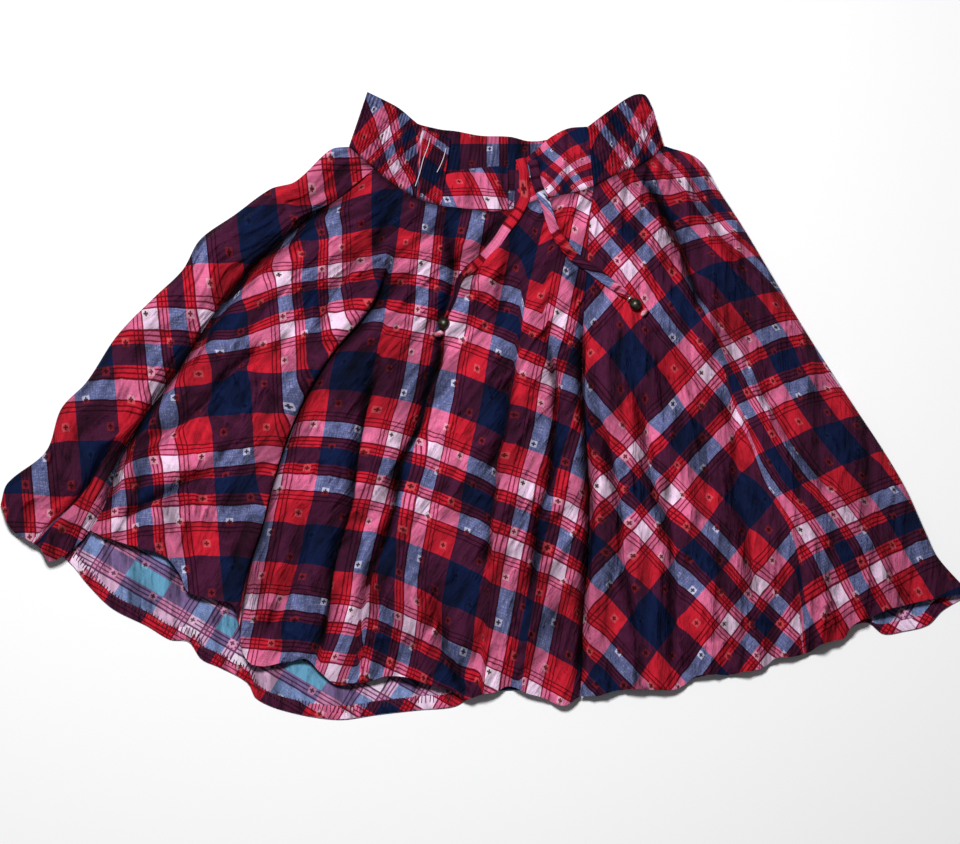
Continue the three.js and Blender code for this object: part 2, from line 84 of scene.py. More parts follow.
class Line:
    """A smooth line through points of any dimension; t runs 0..1 by chord length."""

    def __init__(self, points):
        self.points = np.array(points, dtype=float)
        steps = np.hypot(*np.diff(self.points[:, :2], axis=0).T)
        self.reach = np.concatenate([[0], np.cumsum(steps)])
        last = len(points) - 1
        before = np.maximum(np.arange(last + 1) - 1, 0)
        after = np.minimum(np.arange(last + 1) + 1, last)
        self.slope = (self.points[after] - self.points[before]) / (
            self.reach[after] - self.reach[before])[:, None]
        self.length = self.reach[-1]

    def __call__(self, t):
        at = np.clip(np.asarray(t, dtype=float), 0, 1) * self.length
        i = np.clip(np.searchsorted(self.reach, at, side="left") - 1, 0, len(self.points) - 2)
        step = self.reach[i + 1] - self.reach[i]
        s = ((at - self.reach[i]) / step)[..., None]
        step = step[..., None]
        return ((2 * s**3 - 3 * s**2 + 1) * self.points[i]
                + (s**3 - 2 * s**2 + s) * step * self.slope[i]
                + (3 * s**2 - 2 * s**3) * self.points[i + 1]
                + (s**3 - s**2) * step * self.slope[i + 1])


class Patch:
    """The plan between four lines: u across from left to right, v from top to low."""

    def __init__(self, top, low, left, right):
        self.edges = [Line([p[:2] for p in points]) for points in (top, low, left, right)]

    def __call__(self, u, v):
        top, low, left, right = self.edges
        u, v = np.broadcast_arrays(u, v)
        across, down = u[..., None], v[..., None]
        corners = [line(np.array(end)) for line in (top, low) for end in (0.0, 1.0)]
        return (mix(top(u), low(u), down) + mix(left(v), right(v), across)
                - mix(mix(corners[0], corners[1], across),
                      mix(corners[2], corners[3], across), down))


def off_path(path, x, y):
    """How far a place is from a path, how far along, and on which side: + is left of it."""
    path = np.array(path, dtype=float)
    best = np.full(x.shape, np.inf)
    along = np.zeros(x.shape)
    side = np.ones(x.shape)
    for i, ((ax, ay), (bx, by)) in enumerate(zip(path[:-1], path[1:])):
        dx, dy = bx - ax, by - ay
        s = np.clip(((x - ax) * dx + (y - ay) * dy) / (dx * dx + dy * dy), 0, 1)
        off = np.hypot(x - ax - s * dx, y - ay - s * dy)
        nearer = off < best
        best = np.where(nearer, off, best)
        along = np.where(nearer, (i + s) / (len(path) - 1), along)
        side = np.where(nearer, np.where(dx * (y - ay) - dy * (x - ax) < 0, -1, 1), side)
    return best, along, side


class Unevenness:
    """Soft seeded noise over the plane, about -1 to 1."""

    def __init__(self, seed, size=96):
        self.size = size
        self.values = np.random.default_rng(seed).uniform(-1, 1, (size, size))

    def __call__(self, a, b):
        i, j = np.floor(a).astype(int), np.floor(b).astype(int)
        s, t = smooth(a - i), smooth(b - j)
        i0, i1, j0, j1 = (n % self.size for n in (i, i + 1, j, j + 1))
        grid = self.values
        return mix(mix(grid[i0, j0], grid[i1, j0], s), mix(grid[i0, j1], grid[i1, j1], s), t)


# ------------------------------------------------ the outline, as it lies
CLOTH = 1.2  # from a front piece's underside to its face
WALL = 0.5  # from the face of a modelled sheet to its inner face
GAP = 0.3  # between pieces that meet
BAND_BACK_TOP_FACE = 2.0  # how high the back band's upper face is
FRONT_CLEARANCE = 3.0  # of the front's underside, where the cloth has no loft
SIDE_CLEARANCE = 1.5  # the same at the folds of the two sides
SIDE_ROLL = 16  # how far in from a side's fold the cloth is still rolling up
LOFT_WAIST, LOFT_BODY, LOFT_HEM = 3, 13, 6  # how far the cloth puffs up over that
OVER_BACK = 1.35  # the least height of a gore's inner face, just over the back panel
THINNEST = 0.6  # of a gore, where it is pressed down on the back
BACK_UNDER = 0.1  # the height of the back's own underside
HEM_TURN = 10.5  # how far the back's hem is turned up

WAIST = [  # x, y and the height of the cloth's underside
    (-119, 230, 1.5), (-97, 209, 5), (-83, 197, 6), (-67, 187, 5), (-60, 183, 3.4),
    (-53, 180, 4.5), (-38, 176, 4.5), (-15, 173, 6), (7, 171, 5), (20, 173, 3.4), (38, 179, 4),
    (53, 183, 6), (74, 187, 6), (95, 193, 5), (117, 205, 6), (135, 212, 5), (148, 221, 3),
    (156, 231, 1.5),
]
LEFT_SEAM_ROW, RIGHT_SEAM_ROW = 1, 13
LEFT_EDGE = [
    (-119, 230), (-135, 227), (-166, 198), (-188, 191), (-219, 168), (-249, 146), (-264, 119),
    (-289, 94), (-321, 60), (-347, 19), (-369, -5), (-382, -43), (-415, -71), (-421, -90),
]
RIGHT_EDGE = [
    (156, 231), (187, 218), (204, 191), (226, 156), (252, 111), (283, 58), (322, -4),
    (345, -40), (365, -75), (382, -114), (393, -137), (421, -169),
]
LEFT_SEAM = [
    (-97, 209), (-126, 184), (-156, 166), (-188, 137), (-214, 110), (-241, 75), (-258, 46),
    (-274, 17), (-291, -3), (-306, -28), (-318, -51), (-326, -76), (-333, -97), (-343, -114),
]
RIGHT_SEAM = [
    (95, 193), (92, 168), (90, 147), (89, 120), (85, 58), (85, 4), (88, -40), (90, -93),
    (89, -138), (85, -184), (84, -231), (82, -260),
]
HEM_LEFT = [
    (-421, -90), (-412, -112), (-397, -123), (-386, -130), (-378, -142), (-365, -137),
    (-351, -124), (-343, -114),
]
HEM_FRONT = [
    (-343, -114), (-331, -120), (-317, -125), (-300, -130), (-278, -137), (-265, -153),
    (-257, -169), (-233, -176), (-220, -180), (-213, -198), (-210, -222), (-200, -234),
    (-178, -232), (-155, -228), (-143, -239), (-128, -250), (-103, -248), (-80, -243),
    (-47, -251), (-33, -255), (-16, -263), (-4, -260), (9, -257), (20, -251), (36, -258),
    (51, -262), (68, -269), (82, -260),
]
HEM_RIGHT = [
    (82, -260), (99, -260), (116, -255), (139, -255), (162, -255), (171, -251), (182, -243),
    (209, -241), (226, -239), (239, -236), (252, -227), (265, -226), (278, -222), (296, -214),
    (311, -209), (318, -199), (336, -190), (365, -180), (393, -174), (421, -169),
]
BACK_WAIST = [
    (-119, 230), (-95, 210), (-70, 195), (-40, 189), (0, 184), (40, 182), (75, 188),
    (100, 197), (125, 211), (145, 222), (156, 231),
]
BACK_HEM = [
    (-421, -90), (-396, -114), (-371, -132), (-357, -145), (-347, -158), (-324, -181),
    (-293, -197), (-273, -209), (-257, -211), (-246, -226), (-231, -233), (-206, -247),
    (-198, -261), (-172, -272), (-128, -279.4), (-93, -275), (-58, -271), (-27, -268),
    (-12, -260), (13, -254), (65, -254), (100, -252), (170, -245), (222, -232), (278, -214),
    (311, -200), (331, -194), (345, -204), (362, -202), (384, -196), (397, -183), (421, -169),
]

# Folds of the front, as valleys between puffed stretches of cloth: how much of
# the loft each takes, its half widths left and right of the way it runs, and
# how much of it is a sharp crease along its bottom.
FOLDS = {  # depth, left, right, crease, path
    "under the left seam": (0.96, 13, 7, 0.9, [
        (-97, 204), (-126, 180), (-156, 163), (-214, 107), (-256, 45), (-289, -4),
        (-316, -50), (-326, -80), (-343, -117)]),
    "low in the left side gore": (0.6, 6, 4, 0.8, [
        (-320, -34), (-336, -58), (-350, -82), (-374, -106), (-388, -123)]),
    "beside the left seam": (0.6, 8, 8, 0.4, [
        (-141, 172), (-170, 138), (-204, 102), (-232, 67), (-251, 31)]),
    "left hip": (0.8, 14, 8, 0.8, [
        (-190, 52), (-220, 29), (-244, 0), (-267, -20), (-291, -36), (-308, -54), (-322, -72)]),
    "left hem corner": (0.65, 9, 6, 0.9, [
        (-240, -60), (-264, -73), (-291, -89), (-318, -106)]),
    "left yoke": (0.6, 6, 7, 0.5, [(-116, 218), (-142, 191), (-170, 172)]),
    "long left, top": (0.75, 8, 5, 0.8, [(-74, 186), (-87, 163), (-100, 133)]),
    "long left": (0.97, 12, 6, 1.0, [
        (-80, 150), (-87, 111), (-103, 81), (-134, 43), (-156, 7), (-171, -27), (-185, -71),
        (-194, -109), (-206, -147), (-214, -205)]),
    "short left": (0.4, 6, 6, 0.5, [(-108, 143), (-122, 111), (-140, 84), (-145, 58)]),
    "low left": (0.55, 14, 10, 0.6, [(-158, -89), (-161, -125), (-171, -163), (-194, -212)]),
    "middle left": (0.88, 6, 11, 1.0, [
        (-92, 42), (-105, -21), (-111, -58), (-114, -89), (-123, -120), (-131, -151),
        (-135, -185), (-146, -234)]),
    "middle": (0.93, 10, 7, 0.9, [
        (-34, 171), (-30, 143), (-26, 111), (-38, 68), (-39, 35), (-50, 9), (-57, -22),
        (-72, -52), (-77, -86), (-84, -116), (-100, -156), (-107, -200)]),
    "middle hem": (0.75, 10, 9, 0.7, [(-43, -165), (-36, -209), (-23, -245), (-15, -264)]),
    "under the left tie": (0.9, 10, 9, 0.6, [(23, 170), (7, 147), (-6, 127), (-17, 93)]),
    "middle right": (0.6, 6, 8, 0.5, [
        (26, 26), (22, 4), (18, -24), (11, -51), (10, -76), (6, -103), (5, -125), (3, -158)]),
    "centre front": (0.55, 6, 6, 0.5, [(29, 172), (24, 142), (14, 107), (10, 70)]),
    "under the right tie": (0.7, 7, 7, 0.5, [(55, 180), (68, 142), (78, 122), (83, 93)]),
    "right of middle": (0.8, 8, 6, 0.7, [
        (52, 72), (62, 13), (60, -36), (56, -75), (47, -101), (44, -143), (37, -190)]),
    "right seam": (0.95, 10, 6, 0.9, [
        (86, 90), (85, 58), (85, 4), (88, -40), (91, -85), (89, -138), (85, -184), (84, -231),
        (82, -264)]),
    "beside the right seam": (0.6, 7, 6, 0.7, [
        (93, 49), (99, -7), (106, -40), (114, -75), (117, -110), (119, -143), (128, -182),
        (135, -218)]),
    "right, long": (0.65, 8, 6, 0.6, [
        (130, 20), (140, -43), (145, -75), (160, -119), (163, -166), (162, -209), (159, -256)]),
    "right, middle": (0.45, 7, 7, 0.5, [
        (206, 20), (218, -52), (215, -87), (224, -108), (229, -147), (232, -191)]),
    "right, outer": (0.4, 6, 6, 0.5, [
        (231, 22), (250, -13), (265, -40), (287, -67), (300, -93)]),
    "right yoke": (0.92, 9, 8, 0.8, [
        (132, 208), (144, 194), (156, 171), (170, 141), (178, 116), (191, 80)]),
    "right yoke, outer": (0.45, 7, 7, 0.5, [(177, 209), (191, 169), (209, 142), (226, 112)]),
    "below the right bead": (0.35, 8, 8, 0.4, [(139, 74), (152, 31), (157, -13)]),
}
HEM_WAVES = [  # foot on the hem, head inside the panel, depth
    (-257, -172, -256, -128, 0.6), (-80, -245, -74, -196, 0.45), (20, -253, 25, -196, 0.7),
    (51, -263, 56, -214, 0.5), (116, -257, 112, -214, 0.5), (171, -254, 180, -203, 0.75),
    (210, -242, 205, -190, 0.75), (245, -232, 235, -186, 0.75), (279, -223, 268, -176, 0.7),
    (313, -208, 297, -166, 0.75), (338, -191, 325, -152, 0.6), (366, -181, 354, -146, 0.6),
]

# Routes of the two ties over the gores, from the band to the bead.
TIES = {
    "left": [
        (31, 218, 6.1), (34, 206, 6.6), (34, 195, 6.6), (35, 185, 6.9), (31, 174, 8.3),
        (26, 165, 9.2), (20, 157, 10.6), (13, 146, 13), (6, 136, 14.8), (-2, 127, 14.2),
        (-12, 119, 11.6), (-20, 112, 11), (-24, 104, 11), (-26, 93, 12), (-30, 82, 12.6),
        (-33.3, 74.4, 13.3)],
    "right": [
        (42, 216, 9.8), (43.5, 206, 10.7), (45, 196, 10.6), (49, 186, 10.4), (53, 176, 12),
        (56, 166, 13.8), (59, 156, 14.2), (64, 146, 15), (70, 137, 15.8), (77, 129, 14.6),
        (86, 122, 15.3), (97, 114, 15.6), (108, 105, 16.8), (117, 97.6, 19.6),
        (124.8, 90.2, 22)],
}
TIE_WIDTH, TIE_THICK, BEAD = 9.0, 2.6, 10.8
BEADS = {"left": (-36, 69, 13.8), "right": (131, 84, 22.6)}
KNOTS = {"left": (-39.9, 59.6, 14.6, 1.93), "right": (138.9, 77.2, 21.2, 2.44)}
SPACER = (126, 89, 22.3)

# Folds that the cloth beside them leans over: how far on the east and on the west.
LEANING = {
    "under the left seam": (5, 2), "left hip": (6, 0), "long left": (1, 6), "short left": (2, 0),
    "middle left": (5, 1), "middle": (5, 1), "middle right": (3, 0), "right of middle": (3, 1),
    "under the left tie": (4, 1), "right seam": (4, 1), "beside the right seam": (3, 0),
    "right, long": (3, 0), "right, middle": (3, 0), "right, outer": (3, 1),
    "right yoke": (5, 1), "low left": (4, 1), "low in the left side gore": (3, 0),
    "beside the left seam": (3, 1), "left hem corner": (3, 1), "middle hem": (3, 2),
}
# How dark the painted shade at the bottom of a fold is, and how far that reaches on its east and its
# west.
SHADES = {
    "under the left seam": (0.95, 5, 7), "low in the left side gore": (0.7, 3, 3),
    "beside the left seam": (0.5, 5, 6), "left hip": (0.75, 3, 8), "left hem corner": (0.7, 4, 6),
    "left yoke": (0.7, 4, 4), "long left, top": (0.9, 5, 3), "long left": (1.0, 7, 2.2),
    "short left": (0.6, 3, 3), "low left": (0.6, 4, 7), "middle left": (1.0, 2, 6),
    "middle": (1.0, 3.5, 5.5), "middle hem": (0.8, 4, 6), "under the left tie": (0.9, 5, 7),
    "centre front": (0.7, 4, 4), "under the right tie": (0.7, 4, 4), "middle right": (0.75, 3, 5),
    "right of middle": (0.9, 3, 5), "right seam": (1.0, 3, 7),
    "beside the right seam": (0.7, 3, 5), "right, long": (0.75, 3, 6),
    "right, middle": (0.7, 3, 6), "right, outer": (0.6, 5, 3), "right yoke": (1.0, 4, 6),
    "right yoke, outer": (0.6, 4, 5), "below the right bead": (0.4, 6, 6),
}
SHADE_REACH = 1.3  # a shade reaches this many times as far as the table says


def fold_path(name):
    """The path of a fold, as it is in the table."""
    return FOLDS[name][4]


def rounded(points):
    """The same path with its corners rounded, in shorter steps."""
    return Line(points)(np.linspace(0, 1, len(points) * 3 + 1))


def fading(along, start=0.0):
    """1 along a fold, down to less at its two ends."""
    return smooth(along * 5 + start) * smooth((1 - along) * 5 + start)


def valley(x, y):
    """What the folds leave of the loft, 1 to 0, and how much of a sharp crease is there."""
    open_share, crease = np.ones(x.shape), np.zeros(x.shape)
    for depth, left, right, sharp, points in FOLDS.values():
        off, along, side = off_path(rounded(points), x, y)
        ends = fading(along, 0.35)
        width = np.where(side > 0, left, right)
        open_share *= 1 - depth * ends * np.exp(-((off / width) ** 2))
        crease = np.maximum(crease, sharp * ends * np.exp(-off / 2.6))
    for foot_x, foot_y, head_x, head_y, depth in HEM_WAVES:
        off, along, _ = off_path([(foot_x, foot_y), (head_x, head_y)], x, y)
        open_share *= 1 - depth * (1 - smooth(along)) * np.exp(-((off / 7) ** 2))
    return open_share, crease


def lean_over(x, y):
    """How far the puffed cloth beside each fold leans over it, in x and y."""
    shift_x, shift_y = np.zeros(x.shape), np.zeros(x.shape)
    for name, (east, west) in LEANING.items():
        _, left, right, _, points = FOLDS[name]
        off, along, side = off_path(rounded(points), x, y)
        run = np.subtract(points[-1], points[0])
        run = run / np.hypot(*run)
        for amount, width, way in ((east, left, 1), (west, right, -1)):
            shoulder = np.exp(-(((off - width * 0.95) / (width * 0.62)) ** 2))
            push = amount * fading(along) * shoulder * (side == way)
            shift_x += push * way * run[1]
            shift_y -= push * way * run[0]
    return shift_x, shift_y


def painted_shade(x, y):
    """The painted shade over a place, 0 to 1: deep in a fold, crisp at the edge that hangs over it,
    and some towards the two sides.
    """
    deep = np.zeros(x.shape)
    for name, (dark, east, west) in SHADES.items():
        off, along, side = off_path(rounded(fold_path(name)), x, y)
        uneven = 1 + 0.25 * np.sin(along * 23 + len(name)) + 0.15 * np.sin(along * 51)
        width = np.where(side > 0, east, west) * SHADE_REACH * uneven
        deep = np.maximum(deep, dark * fading(along, 0.25) * np.exp(-((off / width) ** 2)))
    # painted shade towards the two sides, where the cloth turns away from the light
    turned_away = np.maximum(0.3 * smooth((x - 150) / 200), 0.25 * smooth((-x - 240) / 140))
    return np.maximum(deep, turned_away)


def swell(x, y):
    """Slow rises and falls of the loft from place to place, about 1."""
    return 1 + 0.18 * np.sin(x / 31 + y / 90) + 0.14 * np.sin(x / 17 - y / 55 + 1.3)


def loft(v):
    """How far the cloth puffs up, v of the way from the waist to the hem."""
    body = mix(LOFT_WAIST, LOFT_BODY, smooth(v / 0.12))
    return mix(body, LOFT_HEM, smooth((v - 0.82) / 0.18))


def near_tie(x, y):
    """1 under a tie or bead and 0 away from it, where fine wrinkles are pressed flat."""
    pressed = np.zeros(x.shape)
    for side, route in TIES.items():
        path = [place[:2] for place in (*route, BEADS[side], KNOTS[side])]
        off, _, _ = off_path(path, x, y)
        pressed = np.maximum(pressed, np.exp(-((off / 9) ** 2)))
    return pressed


def waist_gathers(t, length, v):
    """Small gathers where the skirt is eased onto the band."""
    return 1.5 * np.sin(2 * np.pi * t * length / 15) * smooth(v / 0.05) * (1 - smooth(v / 0.16))


# ------------------------------------------------------------ the waistband
BAND = {  # x, y of the upper end, x, y of the lower, the underside's z at top, middle, low
    "shirred left": [
        (-103, 279, -119, 230, 2.3, 2.3, 2.3), (-79, 266, -97, 209, 5, 9, 5),
        (-71, 260, -83, 197, 6, 10, 6), (-64, 254, -67, 187, 5, 7, 5),
        (-56, 248, -60, 183, 2.3, 2.3, 3), (-50, 244, -53, 180, 4.5, 6, 4.5),
        (-30, 236, -38, 176, 6, 6, 4.5)],
    "plain left": [
        (-34, 204, -38, 176, 5, 8, 4.5), (-20, 207, -15, 173, 8, 15, 6),
        (7, 211, 7, 171, 6, 11, 5), (20, 211, 20, 173, 4, 5, 3.4)],
    "plain right": [
        (27, 214, 25, 174.5, 3, 3, 3.2), (38, 221, 38, 179, 3.5, 4, 4),
        (57, 237, 53, 183, 6, 10, 6), (73, 245, 74, 187, 7, 11, 6),
        (90, 247, 95, 193, 5, 6, 5)],
    "shirred right": [
        (90, 247, 95, 193, 5, 6, 5), (107, 260, 117, 205, 6, 9, 6),
        (129, 275, 135, 212, 5, 7, 5), (140, 276, 148, 221, 3.5, 4.5, 3),
        (146, 266, 156, 231, 2.3, 2.3, 2.3)],
}
BAND_BACK_TOP = [
    (-103, 279), (-79, 266), (-64, 253), (-41, 246), (-25, 244), (-4, 240), (22, 239),
    (39, 235), (57, 237), (73, 244), (90, 247), (107, 260), (129, 275), (140, 276), (146, 266),
]


# ------------------------------------------------- how the plaid lies on it
# The plaid's own count, in millimetres of cloth: s across it and t down it,
# both 0 at the middle of a wide navy stripe. Each stretch of cloth between two
# folds has the slope of its rows, how much closer they look than flat cloth
# has them, and crossings charted on it. A crossing is how far it is across and
# down the chart, in the chart's own steps, and then s and t.
CHART_MIDDLE = (485, 405)  # where the origin is on the chart
CHART_STEP = (0.87, 0.89)  # millimetres for each step across and down it
LAY = {
    "left side": (28, 1.05, [
        (205, 244, 0, -217), (168, 296, 0, -161.2), (130, 345, 0, -105.4),
        (105, 393, 0, -55.8), (75, 446, 0, 0), (43, 504, 0, 55.8),
        (272, 219, 55.8, -266.6), (238, 266, 55.8, -217), (174, 366, 55.8, -105.4),
        (115, 431, 28.6, -28.6)]),
    "left lobe": (-8, 1.05, [
        (102, 472, 0, 0), (75, 517, -28.6, 28.6), (46, 545, -55.8, 55.8)]),
    "first": (-6, 1.05, [
        (122, 481, -266.6, 55.8), (171, 414, -217, 0), (171, 469, -217, 55.8),
        (171, 518, -217, 105.4), (228, 310, -161.2, -105.4), (233, 399, -161.2, 0),
        (235, 463, -161.2, 55.8), (240, 518, -161.2, 105.4), (244, 581, -161.2, 161.2),
        (292, 238, -105.4, -161.2), (282, 282, -105.4, -105.4), (288, 336, -105.4, -55.8),
        (290, 399, -105.4, 0), (334, 225, -55.8, -161.2), (334, 274, -55.8, -105.4)]),
    "second": (6, 1.05, [
        (384, 210, 0, -161.2), (375, 268, 0, -105.4), (366, 318, 0, -55.8), (352, 376, 0, 0),
        (344, 436, 0, 55.8), (337, 491, 0, 105.4), (324, 551, 0, 161.2), (310, 607, 0, 217),
        (375, 361, 18.7, -14)]),
    "third": (10, 1.05, [
        (384, 210, 0, -161.2), (428, 222, 55.8, -161.2), (424, 272, 55.8, -105.4),
        (420, 330, 55.8, -55.8), (411, 386, 55.8, 0), (394, 444, 55.8, 55.8),
        (379, 499, 55.8, 105.4), (365, 560, 55.8, 161.2), (355, 619, 55.8, 217),
        (452, 225, 80.6, -161.2), (402, 504, 80.6, 105.4), (386, 556, 80.6, 161.2)]),
    "fourth": (22, 1.05, [
        (476, 226, 105.4, -161.2), (467, 283, 105.4, -105.4), (459, 334, 105.4, -55.8),
        (448, 395, 105.4, 0), (436, 456, 105.4, 55.8), (422, 512, 105.4, 105.4),
        (412, 570, 105.4, 161.2), (411, 629, 105.4, 217), (532, 240, 161.2, -161.2),
        (518, 304, 161.2, -105.4), (507, 356, 161.2, -55.8), (498, 416, 161.2, 0),
        (483, 475, 161.2, 55.8), (477, 532, 161.2, 105.4), (461, 592, 161.2, 161.2)]),
    "fifth": (22, 1.05, [
        (549, 383, 217, -55.8), (541, 439, 217, 0), (526, 492, 217, 55.8),
        (521, 524, 217, 80.6), (514, 554, 217, 105.4), (505, 613, 217, 161.2)]),
    "sixth": (22, 1.05, [
        (561, 446, 241.8, 0), (579, 466, 266.6, 0), (571, 516, 266.6, 55.8),
        (558, 576, 266.6, 105.4), (546, 632, 266.6, 161.2)]),
    "right inner": (-42, 1.25, [
        (748, 503, 0, 0), (700, 463, 0, -55.8), (665, 423, 0, -105.4), (631, 359, 0, -161.2),
        (597, 315, 0, -217), (637, 455, -55.8, -105.4), (673, 498, -55.8, -55.8),
        (722, 546, -55.8, 0), (643, 536, -105.4, -55.8), (685, 582, -105.4, 0),
        (652, 625, -161.2, 0), (752, 546, -28.6, 28.6), (741, 461, 28.6, -28.6),
        (729, 440, 28.6, -55.8), (672, 372, 28.6, -132.6), (706, 378, 55.8, -105.4),
        (666, 330, 55.8, -161.2), (629, 274, 55.8, -217), (595, 231, 55.8, -266.6),
        (702, 296, 105.4, -161.2), (663, 242, 105.4, -217), (626, 200, 105.4, -266.6)]),
    "right outer": (-25, 1.3, [
        (736, 357, 105.4, -105.4), (720, 366, 80.6, -105.4), (765, 406, 105.4, -55.8),
        (746, 419, 80.6, -55.8), (784, 404, 132.6, -55.8), (794, 424, 132.6, -28.6),
        (781, 476, 80.6, 0), (799, 465, 105.4, 0), (838, 444, 161.2, 0),
        (841, 487, 132.6, 28.6), (803, 536, 55.8, 55.8), (826, 530, 80.6, 55.8),
        (851, 517, 105.4, 55.8), (866, 508, 132.6, 55.8), (888, 503, 161.2, 55.8),
        (728, 284, 161.2, -161.2), (768, 339, 161.2, -105.4), (798, 389, 161.2, -55.8),
        (776, 309, 189.8, -132.6), (791, 331, 189.8, -105.4), (820, 385, 189.8, -55.8),
        (839, 417, 189.8, -28.6), (840, 386, 217, -55.8), (686, 188, 217, -266.6),
        (707, 193, 241.8, -266.6), (713, 215, 241.8, -241.8), (686, 236, 161.2, -217),
        (703, 232, 189.8, -217), (667, 188, 189.8, -266.6)]),
    "shirred left, outer": (-43, 1.1, [
        (372, 102, 55.8, 0), (380, 117, 55.8, 28.6), (385, 139, 55.8, 55.8),
        (390, 155, 55.8, 80.6), (395, 168, 55.8, 105.4), (404, 182, 55.8, 130),
        (360, 139, 28.6, 28.6), (368, 153, 28.6, 55.8), (404, 120, 80.6, 55.8),
        (409, 137, 80.6, 80.6), (407, 157, 80.6, 105.4), (392, 110, 68, 36)]),
    "shirred left, inner": (34, 2.4, [
        (431, 140, 130, 105.4), (424, 150, 130, 130), (442, 148, 161.2, 105.4),
        (432, 176, 161.2, 161.2), (415, 194, 161.2, 217)]),
    "plain left": (0, 1.1, [
        (451, 160, 28, 0), (451, 182, 25, 28.6), (461, 205, 25, 55.8),
        (466, 159, 55.8, 0), (482, 183, 55.8, 28.6), (493, 205, 55.8, 55.8)]),
    "plain right": (-40, 2.0, [
        (586, 135, 0, 0), (596, 151, 0, 40), (601, 174, -10, 85), (591, 159, -20, 55.8),
        (576, 154, -28.6, 38), (551, 159, -55.8, 0), (568, 172, -55.8, 55.8),
        (582, 187, -55.8, 105.4), (551, 191, -105.4, 55.8)]),
    "shirred right": (-60, 1.77, [
        (608, 135, 55.8, 0), (629, 163, 55.8, 55.8), (620, 131, 80.6, 0),
        (638, 153, 80.6, 55.8), (628, 112, 105.4, 0), (644, 135, 105.4, 55.8),
        (643, 107, 132, 28.6), (652, 120, 132, 55.8)]),
}


def lay_terms(x, y):
    """The terms that a stretch of cloth's count is fitted with: plain slopes and soft bends."""
    a, b = x / 100, y / 100
    return np.stack([np.ones_like(a), a, b, 0.5 * a * b, 0.5 * b * b, 0.35 * a * a], -1)


class Lay:
    """The plaid's count over one stretch of cloth, through the crossings charted on it."""

    def __init__(self, slope, squeeze, crossings, reach=28):
        across, down, s, t = np.array(crossings, dtype=float).T
        x = (across - CHART_MIDDLE[0]) * CHART_STEP[0]
        y = (CHART_MIDDLE[1] - down) * CHART_STEP[1]
        self.x, self.y, self.reach = x, y, reach
        lean = math.radians(slope)
        rows, aims = [lay_terms(x, y)], [np.stack([s, t], -1)]
        weight = 0.3
        for step in (-20, 20):  # each row also has to run the way that its slope says
            rows.append(weight * lay_terms(x + step * math.cos(lean), y - step * math.sin(lean)))
            aims.append(weight * np.stack([s + step * squeeze, t], -1))
        rows.append(np.diag([0, 0, 0, 0.25, 0.25, 0.25]))  # no more bend than the crossings need
        aims.append(np.zeros((6, 2)))
        self.fit = np.linalg.lstsq(np.concatenate(rows), np.concatenate(aims), rcond=None)[0]
        self.missed = np.stack([s, t], -1) - lay_terms(x, y) @ self.fit

    def __call__(self, x, y):
        count = lay_terms(x, y) @ self.fit
        total, pull = np.full(x.shape, 0.25), np.zeros((*x.shape, 2))
        for at_x, at_y, missed in zip(self.x, self.y, self.missed):
            near = np.exp(-((x - at_x) ** 2 + (y - at_y) ** 2) / self.reach ** 2)
            total += near
            pull += near[..., None] * missed
        return count + pull / total[..., None]


BLEND_WAIST, BLEND_BODY = 25, 3  # how wide a border between two stretches is


def lay_across(stretches, borders, x, y, v, reach=28):
    """The count over a gore, from one stretch to the next across the folds between them."""
    count = Lay(*LAY[stretches[0]], reach)(x, y)
    for name, border in zip(stretches[1:], borders):
        off, _, side = off_path(Line(border)(np.linspace(0, 1, 40)), x, y)
        blend = mix(BLEND_WAIST, BLEND_BODY, smooth(v / 0.2))
        share = smooth(0.5 + 0.5 * off * side / blend)
        count = mix(count, Lay(*LAY[name], reach)(x, y), share[..., None])
    return count


# ---------------------------------------------------------- sheets and tubes
def upright(points, least=0.45):
    """How level a sheet lies at each of its points, 1 when flat and never under the least."""
    across, down = np.gradient(points, axis=1), np.gradient(points, axis=0)
    normal = np.cross(down, across)
    return np.maximum(least, np.abs(normal[..., 2]) / np.linalg.norm(normal, axis=-1))


def declare(thing, replaced):
    """What carries a piece, and the node that it stands for, which is hidden."""
    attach(thing, "root")
    if replaced:
        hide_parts(replaced)
    return thing


def piece(name, mesh, replaced, materials):
    thing = bpy.data.objects.new(name, mesh)
    bpy.context.scene.collection.objects.link(thing)
    for material in materials:
        mesh.materials.append(material)
    return declare(thing, replaced)


def add_maps(mesh, maps, corners):
    """UV maps from (u, v) at each point, where corners says which point each corner is."""
    for name, values in maps.items():
        layer = mesh.uv_layers.new(name=name)
        layer.data.foreach_set("uv", values.reshape(-1, 2)[corners].ravel().astype(np.float32))


def finish_smooth(mesh, angle):
    mesh.shade_smooth()
    mesh.set_sharp_from_angle(angle=math.radians(angle))


